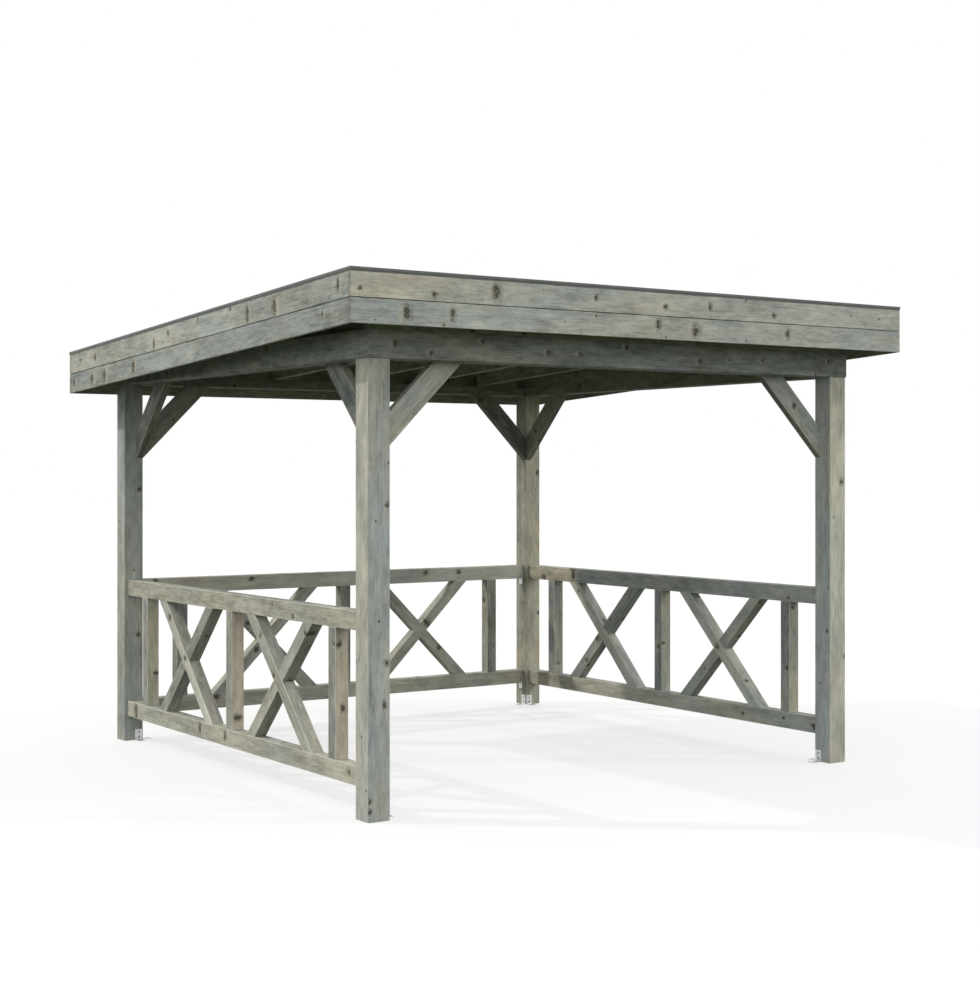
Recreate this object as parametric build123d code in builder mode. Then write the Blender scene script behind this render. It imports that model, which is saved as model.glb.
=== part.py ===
"""Timber garden gazebo: four posts, a ring of beams with knee braces, a roof that falls to the back
inside a two-board fascia, and three crossed railings that leave the front open.

Units are millimetres. X runs along the open front, Y runs to the back and Z points up. The origin is
on the ground, midway between the four posts.
"""
from build123d import *
import math
import os

# Posts, measured over their outer faces.
frame_width = 3136.0
frame_depth = 3136.0
post_size = 120.0
post_height = 2196.0
post_arris = 2.0  # planed-off corner along the posts

# Ring of beams on the post tops, mitred in front and half-lapped behind.
beam_depth = 140.0
back_beam_depth = 60.0
beam_proud = 5.0  # how far the ring stands out past the outer faces of the posts
beam_arris = 5.0

# Knee braces, flush with the inner faces of posts and beams.
brace_thickness = 45.0
brace_width = 115.0
brace_leg = 455.0  # from the corner of post and beam to the far edge of the brace

# Railings.
rail_depth = 75.0
rail_height = 95.0
rail_recess = 20.0  # from the outer faces of the posts
bottom_rail_level = 152.0  # underside
top_rail_level = 897.0  # underside
baluster_size = 73.0
end_baluster_inset = 395.0  # from the outer face of a post to the middle of a baluster
diagonal_size = 70.0

# Roof.
roof_pitch = math.radians(3.0)
overhang = 215.0  # in front and at the sides, from the outer faces of the posts
back_overhang = 245.0
rafter_thickness = 45.0
rafter_depth = 120.0
rafter_bays = 6
raising_thickness = 50.0
deck_thickness = 19.0
membrane_thickness = 4.0
fascia_thickness = 19.0
fascia_board = 118.0
fascia_joint = 2.0
fascia_drop = 88.0  # from the undersides of the rafters down to the lower edge of the fascia

# Edge trim on the top of the fascia.
trim_sheet = 2.0
trim_lower_band = 8.0
trim_height = 20.0
trim_reach = 26.0  # inwards from the face of the fascia
trim_bead = 3.0  # how far the upper band stands proud of the lower one

# Folded steel brackets.
foot_leg = 65.0
foot_width = 45.0
foot_sheet = 2.5
foot_inset = 5.0  # from the inner corner of the post to the edge of the bracket
anchor_hole = 9.0
anchor_first = 20.0  # from the outer face of the other leg to the first anchor hole
anchor_spacing = 30.0
shelf_leg = 40.0
shelf_width = 36.0
shelf_sheet = 2.0
screw_hole = 5.0
screw_first = 12.0
screw_spacing = 18.0

# Worked out from the sizes above.
half_width = frame_width / 2
half_depth = frame_depth / 2
inner_x = half_width - post_size
inner_y = half_depth - post_size
beam_width = post_size + beam_proud
ring_x = half_width + beam_proud
ring_y = half_depth + beam_proud
beam_top = post_height + beam_depth
back_lap = back_beam_depth / 2
seat_level = post_height + back_beam_depth
rafter_rise = rafter_depth / math.cos(roof_pitch)
deck_rise = deck_thickness / math.cos(roof_pitch)
membrane_rise = membrane_thickness / math.cos(roof_pitch)
fascia_rise = 2 * fascia_board + fascia_joint - fascia_drop
roof_x = half_width + overhang
roof_front = -half_depth - overhang
roof_back = half_depth + back_overhang
inside_x = roof_x - fascia_thickness
inside_front = roof_front + fascia_thickness
inside_back = roof_back - fascia_thickness
rail_middle = rail_recess + rail_depth / 2
bottom_rail_top = bottom_rail_level + rail_height
clear_height = top_rail_level - bottom_rail_top
railing_spans = {"left": frame_depth, "back": frame_width, "right": frame_depth}


def save(piece, name):
    """Label a finished piece and write it as a STEP file."""
    piece.part.label = name
    export_step(piece.part, f"parts/{name}.step")


def roof_line(y, rise=0.0):
    """Height, at depth y, of a line that runs a vertical rise above the undersides of the rafters."""
    return seat_level + (inner_y - y) * math.tan(roof_pitch) + rise


def sloping_outline(start, end, low_rise, high_rise):
    """Corners of a timber that follows the roof, cut plumb at both ends, as (y, z)."""
    return [
        (start, roof_line(start, low_rise)),
        (end, roof_line(end, low_rise)),
        (end, roof_line(end, high_rise)),
        (start, roof_line(start, high_rise)),
    ]


def make_along_roof(outlines, middles, width):
    """Timbers with the given (y, z) outlines, one of each outline centred on each x in middles."""
    with BuildPart() as timbers:
        for outline in outlines:
            for middle in middles:
                with BuildSketch(Plane.YZ.offset(middle - width / 2)):
                    with BuildLine():
                        Polyline(*outline, close=True)
                    make_face()
                extrude(amount=width)
    return timbers


def make_post(x, y):
    """One square post with planed corners."""
    with BuildPart() as post:
        with BuildSketch():
            with Locations((x, y)):
                Rectangle(post_size, post_size)
        extrude(amount=post_height)
        chamfer(post.edges().filter_by(Axis.Z), post_arris)
    return post


def make_plan_beam(outline, depth, along):
    """A beam on the post tops with the given outline in plan, its long edges planed off."""
    with BuildPart() as beam:
        with BuildSketch(Plane.XY.offset(post_height)):
            with BuildLine():
                Polyline(*outline, close=True)
            make_face()
        extrude(amount=depth)
        chamfer(beam.edges().filter_by(along), beam_arris)
    return beam


def make_front_beam():
    """The beam over the open front, mitred at both ends."""
    outline = [(-ring_x, -ring_y), (ring_x, -ring_y), (inner_x, -inner_y), (-inner_x, -inner_y)]
    return make_plan_beam(outline, beam_depth, Axis.X)


def make_back_beam():
    """The shallow beam at the back, the upper half of its ends cut away under the side beams."""
    outline = [(-ring_x, inner_y), (ring_x, inner_y), (ring_x, ring_y), (-ring_x, ring_y)]
    whole = make_plan_beam(outline, back_beam_depth, Axis.X)
    middle = inner_x + beam_width / 2
    level = post_height + back_beam_depth - back_lap / 2
    with BuildPart() as beam:
        add(whole.part)
        with Locations(*[(end * middle, inner_y + beam_width / 2, level) for end in (-1, 1)]):
            Box(beam_width, beam_width, back_lap, mode=Mode.SUBTRACT)
    return beam


def make_side_beam(side):
    """A beam along Y, mitred to the front beam and lapped over the end of the back beam."""
    outer = side * ring_x
    inner = side * inner_x
    outline = [(outer, -ring_y), (outer, ring_y), (inner, ring_y), (inner, -inner_y)]
    whole = make_plan_beam(outline, beam_depth, Axis.Y)
    with BuildPart() as beam:
        add(whole.part)
        with Locations(((outer + inner) / 2, inner_y + beam_width / 2, post_height + back_lap / 2)):
            Box(beam_width, beam_width, back_lap, mode=Mode.SUBTRACT)
    return beam


def brace_outline(corner, direction):
    """Corners of a 45 degree brace under a beam, as (along, z), for a post face at corner."""
    inner_leg = brace_leg - brace_width * math.sqrt(2)
    return [
        (corner, post_height - brace_leg),
        (corner + direction * brace_leg, post_height),
        (corner + direction * inner_leg, post_height),
        (corner, post_height - inner_leg),
    ]


def make_cross_brace(side, end):
    """The brace that runs along X from the post at the given side (-1 left) and end (-1 front)."""
    near = end * inner_y
    far = end * (inner_y + brace_thickness)
    with BuildPart() as brace:
        with BuildSketch(Plane.XZ.offset(-max(near, far))):
            with BuildLine():
                Polyline(*brace_outline(side * inner_x, -side), close=True)
            make_face()
        extrude(amount=brace_thickness)
    return brace


def make_side_brace(side, end):
    """The brace that runs along Y from the post at the given side and end."""
    near = side * inner_x
    far = side * (inner_x + brace_thickness)
    with BuildPart() as brace:
        with BuildSketch(Plane.YZ.offset(min(near, far))):
            with BuildLine():
                Polyline(*brace_outline(end * inner_y, -end), close=True)
            make_face()
        extrude(amount=brace_thickness)
    return brace


def railing_plane(name):
    """Plane of a railing: x along it, y up and z outwards, its origin on the ground between the posts,
    halfway through the rails."""
    if name == "left":
        return Plane((-half_width + rail_middle, 0, 0), x_dir=(0, -1, 0), z_dir=(-1, 0, 0))
    if name == "right":
        return Plane((half_width - rail_middle, 0, 0), x_dir=(0, 1, 0), z_dir=(1, 0, 0))
    return Plane((0, half_depth - rail_middle, 0), x_dir=(-1, 0, 0), z_dir=(0, 1, 0))


def make_rail(plane, length, level):
    """One rail between two posts, its underside at the level."""
    with BuildPart() as rail:
        with BuildSketch(plane.offset(-rail_depth / 2)):
            with Locations((0, level + rail_height / 2)):
                Rectangle(length, rail_height)
        extrude(amount=rail_depth)
    return rail


def baluster_positions(span):
    """Middles of the three balusters along a railing between posts whose outer faces are span apart."""
    outer = span / 2 - end_baluster_inset
    return (-outer, 0.0, outer)


def make_balusters(plane, span):
    """The three square balusters of a railing."""
    with BuildPart() as balusters:
        with BuildSketch(plane.offset(-baluster_size / 2)):
            middle = bottom_rail_top + clear_height / 2
            with Locations(*[(along, middle) for along in baluster_positions(span)]):
                Rectangle(baluster_size, clear_height)
        extrude(amount=baluster_size)
    return balusters


def make_diagonals(plane, span, direction):
    """The two diagonals of a railing that lean the same way, halved where the others cross them.

    Direction 1 rises with x and loses its outer half at the crossing; -1 falls and loses its inner half.
    """
    outer = baluster_positions(span)[2]
    foot = diagonal_size / math.sqrt(2)
    run = clear_height / 2
    with BuildPart() as diagonals:
        with BuildSketch(plane.offset(-diagonal_size / 2)):
            for middle in (-outer / 2, outer / 2):
                low = middle - direction * run
                high = middle + direction * run
                with BuildLine():
                    Polyline(
                        (low - foot, bottom_rail_top),
                        (low + foot, bottom_rail_top),
                        (high + foot, top_rail_level),
                        (high - foot, top_rail_level),
                        close=True,
                    )
                make_face()
        extrude(amount=diagonal_size)
        lap_plane = plane if direction > 0 else plane.offset(-diagonal_size / 2)
        with BuildSketch(lap_plane):
            level = bottom_rail_top + clear_height / 2
            with Locations(*[(middle, level) for middle in (-outer / 2, outer / 2)]):
                Rectangle(diagonal_size, 3 * diagonal_size, rotation=direction * 45)
        extrude(amount=diagonal_size / 2, mode=Mode.SUBTRACT)
    return diagonals


def make_angle(leg, width, sheet, hole, first, spacing):
    """A folded angle bracket with a line of holes in each leg.

    Its fold runs along Z through the origin, halfway along the bracket. One leg runs along X and is the
    foot, the other runs along Y and stands against the post.
    """
    with BuildPart() as angle:
        with BuildSketch(Plane.XY.offset(-width / 2)):
            with BuildLine():
                Polyline((0, 0), (leg, 0), (leg, sheet), (sheet, sheet), (sheet, leg), (0, leg), close=True)
            make_face()
        extrude(amount=width)
        fold = angle.edges().filter_by(Axis.Z).sort_by(lambda edge: edge.center().X + edge.center().Y)[0]
        fillet(fold, sheet)
        foot_plane = Plane((0, 0, 0), x_dir=(1, 0, 0), z_dir=(0, 1, 0))
        back_plane = Plane((0, 0, 0), x_dir=(0, 1, 0), z_dir=(1, 0, 0))
        for face_plane in (foot_plane, back_plane):
            with BuildSketch(face_plane):
                with Locations((first, 0), (first + spacing, 0)):
                    Circle(hole / 2)
            extrude(amount=2 * sheet, mode=Mode.SUBTRACT)
    return angle


def make_foot_brackets():
    """The angles that hold the posts to the ground, two on the inner faces of each post."""
    angle = make_angle(foot_leg, foot_width, foot_sheet, anchor_hole, anchor_first, anchor_spacing)
    seats = []
    for side in (-1, 1):
        for end in (-1, 1):
            x_corner = (side * inner_x, end * (inner_y + foot_inset + foot_width / 2), 0)
            y_corner = (side * (inner_x + foot_inset + foot_width / 2), end * inner_y, 0)
            seats.append(Plane(x_corner, x_dir=(-side, 0, 0), z_dir=(0, side, 0)))
            seats.append(Plane(y_corner, x_dir=(0, -end, 0), z_dir=(-end, 0, 0)))
    with BuildPart() as brackets:
        with Locations(*seats):
            add(angle.part)
    return brackets


def make_rail_brackets():
    """The small angles under the ends of the two back rails."""
    angle = make_angle(shelf_leg, shelf_width, shelf_sheet, screw_hole, screw_first, screw_spacing)
    plane = railing_plane("back")
    reach = railing_spans["back"] / 2 - post_size
    seats = []
    for level in (bottom_rail_level, top_rail_level):
        for end in (-1, 1):
            corner = plane.from_local_coords((end * reach, level, 0))
            inwards = plane.x_dir * -end
            down = plane.y_dir * -1
            seats.append(Plane(corner, x_dir=inwards, z_dir=inwards.cross(down)))
    with BuildPart() as brackets:
        with Locations(*seats):
            add(angle.part)
    return brackets


def make_raising_timber():
    """The timber on the front beam that lifts the rafters to the high side of the roof."""
    front = -ring_y
    back = front + raising_thickness
    outline = [(front, beam_top), (back, beam_top), (back, roof_line(back)), (front, roof_line(front))]
    return make_along_roof([outline], [0], 2 * ring_x)


def make_side_firrings():
    """The two tapered timbers on the inner halves of the side beams, under the roof boards."""
    front = -ring_y + raising_thickness
    back = ring_y
    outline = [
        (front, beam_top),
        (back, beam_top),
        (back, roof_line(back, rafter_rise)),
        (front, roof_line(front, rafter_rise)),
    ]
    middle = inner_x + raising_thickness / 2
    return make_along_roof([outline], [-middle, middle], raising_thickness)


def make_rafters():
    """The rafters between the side beams, each with a seat cut over the back beam."""
    bay = frame_width / rafter_bays
    middles = [-half_width + index * bay for index in range(1, rafter_bays)]
    seat_cut = [(inner_y, seat_level), (ring_y, seat_level), (ring_y, roof_line(ring_y))]
    outline = sloping_outline(inside_front, inside_back, 0, rafter_rise)
    return make_along_roof([outline[:1] + seat_cut + outline[1:]], middles, rafter_thickness)


def make_edge_rafters():
    """The two rafters behind the side fascias."""
    outline = sloping_outline(inside_front, inside_back, 0, rafter_rise)
    middle = inside_x - rafter_thickness / 2
    return make_along_roof([outline], [-middle, middle], rafter_thickness)


def make_deck():
    """The roof boards, laid over the rafters inside the fascia."""
    outline = sloping_outline(inside_front, inside_back, rafter_rise, rafter_rise + deck_rise)
    return make_along_roof([outline], [0], 2 * inside_x)


def make_membrane():
    """The sheet over the roof boards."""
    low = rafter_rise + deck_rise
    outline = sloping_outline(inside_front, inside_back, low, low + membrane_rise)
    return make_along_roof([outline], [0], 2 * inside_x)


def make_end_fascia(end):
    """The two level boards across the front (-1) or the back (1), their top edge planed to the roof."""
    outer = roof_front if end < 0 else roof_back
    inner = outer - end * fascia_thickness
    bottom = roof_line(outer, -fascia_drop)
    joint = bottom + fascia_board
    lower = [(outer, bottom), (inner, bottom), (inner, joint), (outer, joint)]
    upper = [
        (outer, joint + fascia_joint),
        (inner, joint + fascia_joint),
        (inner, roof_line(inner, fascia_rise)),
        (outer, roof_line(outer, fascia_rise)),
    ]
    return make_along_roof([lower, upper], [0], 2 * roof_x)


def make_side_fascia(side):
    """The two boards that slope along the left (-1) or the right (1), between the end boards."""
    joint = -fascia_drop + fascia_board
    lower = sloping_outline(inside_front, inside_back, -fascia_drop, joint)
    upper = sloping_outline(inside_front, inside_back, joint + fascia_joint, fascia_rise)
    return make_along_roof([lower, upper], [side * (roof_x - fascia_thickness / 2)], fascia_thickness)


def make_edge_trim():
    """The folded trim round the roof: two bands outside, a flat top, and a leg down to the membrane."""
    normal = (0, math.sin(roof_pitch), math.cos(roof_pitch))
    middle_y = (roof_front + roof_back) / 2
    base = Plane((0, middle_y, roof_line(middle_y, fascia_rise)), x_dir=(1, 0, 0), z_dir=normal)
    to_membrane = (fascia_rise - rafter_rise - deck_rise - membrane_rise) * math.cos(roof_pitch)
    outer_leg = trim_sheet - trim_bead
    inner_leg = trim_reach - trim_sheet
    # Each strip of the section: its foot above the fascia, its height, and how far its outer and inner
    # faces lie inside the face of the fascia.
    strips = [
        (0, trim_lower_band, 0, trim_sheet),
        (trim_lower_band, trim_sheet, -trim_bead, trim_sheet),
        (trim_lower_band, trim_height - trim_lower_band, -trim_bead, outer_leg),
        (trim_height - trim_sheet, trim_sheet, -trim_bead, trim_reach),
        (-to_membrane, to_membrane + trim_height, inner_leg, trim_reach),
    ]
    with BuildPart() as trim:
        for foot, height, outer, inner in strips:
            with BuildSketch(base.offset(foot)):
                for inset, mode in ((outer, Mode.ADD), (inner, Mode.SUBTRACT)):
                    length = (roof_back - roof_front - 2 * inset) / math.cos(roof_pitch)
                    Rectangle(2 * (roof_x - inset), length, mode=mode)
            extrude(amount=height)
    return trim


os.makedirs("parts", exist_ok=True)

side_names = {-1: "left", 1: "right"}
end_names = {-1: "front", 1: "back"}
for end, end_name in end_names.items():
    for side, side_name in side_names.items():
        corner = f"{end_name}_{side_name}"
        middle_x = side * (half_width - post_size / 2)
        middle_y = end * (half_depth - post_size / 2)
        save(make_post(middle_x, middle_y), f"{corner}_post")
        save(make_cross_brace(side, end), f"{corner}_cross_brace")
        save(make_side_brace(side, end), f"{corner}_side_brace")

save(make_front_beam(), "front_beam")
save(make_back_beam(), "back_beam")
for side, side_name in side_names.items():
    save(make_side_beam(side), f"{side_name}_beam")

for railing, span in railing_spans.items():
    plane = railing_plane(railing)
    rail_length = span - 2 * post_size
    save(make_rail(plane, rail_length, top_rail_level), f"{railing}_top_rail")
    save(make_rail(plane, rail_length, bottom_rail_level), f"{railing}_bottom_rail")
    save(make_balusters(plane, span), f"{railing}_balusters")
    save(make_diagonals(plane, span, 1), f"{railing}_rising_diagonals")
    save(make_diagonals(plane, span, -1), f"{railing}_falling_diagonals")

save(make_rail_brackets(), "rail_brackets")
save(make_foot_brackets(), "foot_brackets")

save(make_raising_timber(), "raising_timber")
save(make_side_firrings(), "side_firrings")
save(make_rafters(), "rafters")
save(make_edge_rafters(), "edge_rafters")
save(make_deck(), "roof_deck")
save(make_membrane(), "roof_membrane")
save(make_end_fascia(-1), "front_fascia")
save(make_end_fascia(1), "back_fascia")
for side, side_name in side_names.items():
    save(make_side_fascia(side), f"{side_name}_fascia")
save(make_edge_trim(), "edge_trim")
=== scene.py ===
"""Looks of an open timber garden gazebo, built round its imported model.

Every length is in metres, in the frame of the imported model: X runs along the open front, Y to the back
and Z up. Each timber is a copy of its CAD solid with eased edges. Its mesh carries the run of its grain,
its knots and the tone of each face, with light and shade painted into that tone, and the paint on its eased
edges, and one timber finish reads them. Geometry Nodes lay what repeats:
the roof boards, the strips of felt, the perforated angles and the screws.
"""

import logging
import math
import random
import zlib
from dataclasses import dataclass, field
from enum import Enum

import bmesh
import bpy
from mathutils import Euler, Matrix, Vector


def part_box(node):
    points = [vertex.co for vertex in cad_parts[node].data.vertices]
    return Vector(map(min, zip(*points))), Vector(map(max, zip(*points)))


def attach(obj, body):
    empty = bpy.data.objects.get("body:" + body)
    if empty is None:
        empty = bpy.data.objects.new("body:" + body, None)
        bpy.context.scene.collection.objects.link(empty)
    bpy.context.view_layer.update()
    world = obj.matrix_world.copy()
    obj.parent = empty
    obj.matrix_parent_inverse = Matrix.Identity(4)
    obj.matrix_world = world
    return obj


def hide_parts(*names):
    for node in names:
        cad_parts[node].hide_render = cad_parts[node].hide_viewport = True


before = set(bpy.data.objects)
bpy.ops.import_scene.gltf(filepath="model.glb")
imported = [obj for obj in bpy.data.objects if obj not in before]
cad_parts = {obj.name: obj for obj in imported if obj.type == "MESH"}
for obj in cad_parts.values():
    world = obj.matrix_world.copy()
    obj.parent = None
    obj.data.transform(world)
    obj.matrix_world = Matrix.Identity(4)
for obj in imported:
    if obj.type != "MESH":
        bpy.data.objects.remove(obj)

log = logging.getLogger("gazebo")
Socket = bpy.types.NodeSocket
Material = bpy.types.Material
Triple = tuple[float, float, float]
Colour = Triple  # red, green and blue on the usual 0 to 255 scale
Seat = tuple[Triple, Triple]  # a place and a turn
Spot = tuple[float, float, float, float]  # a knot's place along, place across, radius and how far it is drawn out

WELD = 1e-5  # metres within which points are one
PLANE = 0.004  # radians within which faces are one
SHARP = 0.35  # radians from which an edge is eased
PARALLEL = 0.9995  # cosine from which an edge runs with the grain
SQUARE = 0.985  # cosine from which a face is no part of an eased edge
SLANT = 0.3  # share of the grain's way from which a face or a stick counts as slanting
UPRIGHT = 0.95  # share of the way up from which a stick counts as upright
BIAS = 0.02  # decides between two ways that are as near as each other
CELL = 0.05  # metres: sticks whose middles lie in one cell count as level
CELL_START = 0.37  # moves the borders of the cells off the sizes in use
CUT_EVERY = 0.3  # metres between cuts across the grain, about
CUT_APART = 0.004  # metres between them, at least
END_LIT, END_WARMTH = -0.28, 0.1  # what end grain adds to the tone of a side
NO_KNOT = (50.0, 50.0, 0.01, 1.0)  # a knot too far off to show
FLECK = (0.002, 0.004)  # radii of the smallest knots, in metres


def tint(red: int, green: int, blue: int) -> tuple[float, float, float, float]:
    """Turn a colour written on the usual 0 to 255 scale into the linear one that shaders take.

    Args:
        red: Red on the 0 to 255 scale.
        green: Green on the 0 to 255 scale.
        blue: Blue on the 0 to 255 scale.

    Returns:
        The linear colour with an alpha of one.
    """
    parts = []
    for level in (red, green, blue):
        share = level / 255
        parts.append(share / 12.92 if share <= 0.04045 else ((share + 0.055) / 1.055) ** 2.4)
    return (parts[0], parts[1], parts[2], 1.0)


class Side(Enum):
    """A side of a timber, named by where it faces on the gazebo."""

    LEFT = (-1, 0, 0)
    RIGHT = (1, 0, 0)
    FRONT = (0, -1, 0)
    BACK = (0, 1, 0)
    UNDER = (0, 0, -1)
    TOP = (0, 0, 1)


class Size(Enum):
    """How big a knot is, by its radius in metres."""

    PIN = 0.005
    SMALL = 0.008
    MEDIUM = 0.011
    LARGE = 0.016


@dataclass(frozen=True)
class Knot:
    """A listed knot.

    Its place is in metres from the lower, left or front end. Its level runs from -1 to 1 across the face, upward on
    a board, and to the left or the back on a post.
    """

    place: float
    level: float
    size: Size
    drawn: float = 1.1


def knots_at(**sizes: list[tuple]) -> list[Knot]:
    """Knots given by size, each as its place, its level and how far it is drawn out if that is not as usual."""
    return [Knot(spot[0], spot[1], Size[size.upper()], *spot[2:]) for size, spots in sizes.items() for spot in spots]


class Graph:
    """A short way to write a node tree, for shaders and for Geometry Nodes alike."""

    def __init__(self, tree: bpy.types.NodeTree) -> None:
        """Start on an empty tree.

        Args:
            tree: The tree that gets the nodes.
        """
        self.tree = tree
        tree.nodes.clear()

    def add(self, kind: str, inputs: dict | None = None, **settings: object) -> bpy.types.Node:
        """Add one node.

        Args:
            kind: The node's type name.
            inputs: Values or sockets by input name or number.
            **settings: The node's own properties.

        Returns:
            The new node.
        """
        node = self.tree.nodes.new(kind)
        for name, value in settings.items():
            setattr(node, name, value)
        for key, value in (inputs or {}).items():
            if isinstance(value, Socket):
                self.tree.links.new(value, node.inputs[key])
            else:
                node.inputs[key].default_value = value
        return node

    def math(self, operation: str, *values: object, clamp: bool = False) -> Socket:
        """Work out one number.

        Args:
            operation: The Math node's operation.
            *values: Numbers or sockets.
            clamp: Whether the result stays between 0 and 1.

        Returns:
            The socket that holds the number.
        """
        node = self.add("ShaderNodeMath", dict(enumerate(values)), operation=operation, use_clamp=clamp)
        return node.outputs[0]

    def vector(self, operation: str, *values: object) -> Socket:
        """Work out one vector.

        Args:
            operation: The Vector Math node's operation.
            *values: Vectors or sockets.

        Returns:
            The socket that holds the vector, or the number where the operation gives one.
        """
        node = self.add("ShaderNodeVectorMath", dict(enumerate(values)), operation=operation)
        return node.outputs["Value" if operation in ("LENGTH", "DISTANCE") else "Vector"]

    def noise(self, place: object, scale: Triple, detail: float = 2.0, rough: float = 0.5) -> Socket:
        """Read smooth noise that is drawn out differently along each axis.

        Args:
            place: The vector socket that gives the place.
            scale: Features to the metre along, across and through.
            detail: How many finer layers are added.
            rough: How strong those layers are.

        Returns:
            The noise, about 0.5 on average.
        """
        moved = self.vector("MULTIPLY", place, scale)
        node = self.add("ShaderNodeTexNoise", {"Vector": moved, "Scale": 1.0, "Detail": detail, "Roughness": rough})
        return node.outputs[0]

    def span(self, value: object, low: float, high: float, first: float = 0.0, last: float = 1.0,
             kind: str = "LINEAR") -> Socket:
        """Move a number from one range to another and hold it there.

        Args:
            value: The number's socket.
            low: Start of the range it comes from.
            high: End of the range it comes from.
            first: What low becomes.
            last: What high becomes.
            kind: LINEAR or SMOOTHSTEP.

        Returns:
            The number in its new range.
        """
        inputs = {0: value, 1: low, 2: high, 3: first, 4: last}
        return self.add("ShaderNodeMapRange", inputs, interpolation_type=kind, clamp=True).outputs[0]

    def blend(self, share: object, first: object, second: object) -> Socket:
        """Mix two colours.

        Args:
            share: How much of the second there is.
            first: The first colour or socket.
            second: The second colour or socket.

        Returns:
            The mixed colour.
        """
        inputs = {0: share, 6: first, 7: second}
        return self.add("ShaderNodeMix", inputs, data_type="RGBA").outputs[2]

    def swing(self, value: object, amount: float) -> Socket:
        """Turn noise about 0.5 into a swing either side of nought, amount wide."""
        return self.times(self.minus(value, 0.5), amount)

    def plus(self, one: object, other: object, clamp: bool = False) -> Socket:
        """One number added to another, held between 0 and 1 if clamp is set."""
        return self.math("ADD", one, other, clamp=clamp)

    def minus(self, one: object, other: object, clamp: bool = False) -> Socket:
        """One number less another, held between 0 and 1 if clamp is set."""
        return self.math("SUBTRACT", one, other, clamp=clamp)

    def times(self, one: object, other: object) -> Socket:
        """One number multiplied by another."""
        return self.math("MULTIPLY", one, other)

    def over(self, one: object, other: object) -> Socket:
        """One number divided by another."""
        return self.math("DIVIDE", one, other)

    def read(self, name: str) -> bpy.types.Node:
        """The node that reads a mesh attribute of that name."""
        return self.add("ShaderNodeAttribute", attribute_type="GEOMETRY", attribute_name=name)

    def split(self, value: object) -> tuple[Socket, ...]:
        """The three parts of a vector."""
        return tuple(self.add("ShaderNodeSeparateXYZ", {0: value}).outputs)

    def join(self, x: object, y: object, z: object) -> Socket:
        """One vector made of three numbers."""
        return self.add("ShaderNodeCombineXYZ", {0: x, 1: y, 2: z}).outputs[0]


class Pattern(Graph):
    """A Geometry Nodes tree with named sizes, baked into a plain mesh."""

    def __init__(self, name: str, sizes: dict[str, float]) -> None:
        """Start a tree that takes a mesh and its sizes.

        Args:
            name: The tree's name.
            sizes: Its inputs by name, whole numbers for counts.
        """
        tree = bpy.data.node_groups.new(name, "GeometryNodeTree")
        super().__init__(tree)
        self.sizes = sizes
        tree.interface.new_socket("Geometry", in_out="INPUT", socket_type="NodeSocketGeometry")
        tree.interface.new_socket("Geometry", in_out="OUTPUT", socket_type="NodeSocketGeometry")
        for label, value in sizes.items():
            kind = "NodeSocketInt" if isinstance(value, int) else "NodeSocketFloat"
            tree.interface.new_socket(label, in_out="INPUT", socket_type=kind)
        self.inlet = self.add("NodeGroupInput").outputs

    def gather(self, *parts: Socket) -> Socket:
        """Several geometries as one."""
        node = self.add("GeometryNodeJoinGeometry")
        for part in parts:
            self.tree.links.new(part, node.inputs[0])
        return node.outputs[0]

    def shift(self, part: object, move: object = (0, 0, 0), turn: object = (0, 0, 0)) -> Socket:
        """A geometry turned about the origin and then moved."""
        return self.add("GeometryNodeTransform", {0: part, "Translation": move, "Rotation": turn}).outputs[0]

    def place(self, part: object, position: object) -> Socket:
        """A geometry with each of its points put where position says."""
        return self.add("GeometryNodeSetPosition", {0: part, "Position": position}).outputs[0]

    def weld(self, part: object, distance: float = WELD) -> Socket:
        """A mesh whose points that meet are one point."""
        return self.add("GeometryNodeMergeByDistance", {0: part, "Distance": distance}).outputs[0]

    def flip(self, part: object) -> Socket:
        """A mesh whose faces point the other way."""
        return self.add("GeometryNodeFlipFaces", {0: part}).outputs[0]

    def thicken(self, part: object, depth: object) -> Socket:
        """Give a sheet of faces a thickness along their normals.

        Args:
            part: The sheet, its faces pointing towards the side that grows.
            depth: The thickness.

        Returns:
            The closed plate.
        """
        grown = self.add("GeometryNodeExtrudeMesh", {0: part, "Offset Scale": depth, "Individual": False})
        return self.weld(self.gather(grown.outputs[0], self.flip(part)))

    def bake(self, name: str, result: object, material: Material,
             seats: bpy.types.Mesh | None = None) -> bpy.types.Object:
        """End the tree, run it and keep the plain mesh.

        Args:
            name: The finished object's name.
            result: The socket that holds the finished geometry.
            material: What the faces get.
            seats: The mesh that the tree starts from, if it needs one.

        Returns:
            An object at the origin with the plain mesh and no modifier.
        """
        real = self.add("GeometryNodeRealizeInstances", {0: result}).outputs[0]
        dressed = self.add("GeometryNodeSetMaterial", {0: real, "Material": material}).outputs[0]
        self.add("NodeGroupOutput", {0: dressed})
        piece = bpy.data.objects.new(name, seats or bpy.data.meshes.new(f"{name}_start"))
        bpy.context.scene.collection.objects.link(piece)
        modifier = piece.modifiers.new("pattern", "NODES")
        modifier.node_group = self.tree
        for item in self.tree.interface.items_tree:
            if item.in_out == "INPUT" and item.name in self.sizes:
                modifier[item.identifier] = self.sizes[item.name]
        graph = bpy.context.evaluated_depsgraph_get()
        mesh = bpy.data.meshes.new_from_object(piece.evaluated_get(graph), depsgraph=graph)
        piece.modifiers.remove(modifier)
        piece.data = mesh
        mesh.name = name
        return piece


def new_material(name: str) -> tuple[Material, Graph]:
    """Make an empty material.

    Args:
        name: Its name.

    Returns:
        The material and a graph on its tree.
    """
    material = bpy.data.materials.new(name)
    material.use_nodes = True
    return material, Graph(material.node_tree)


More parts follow.
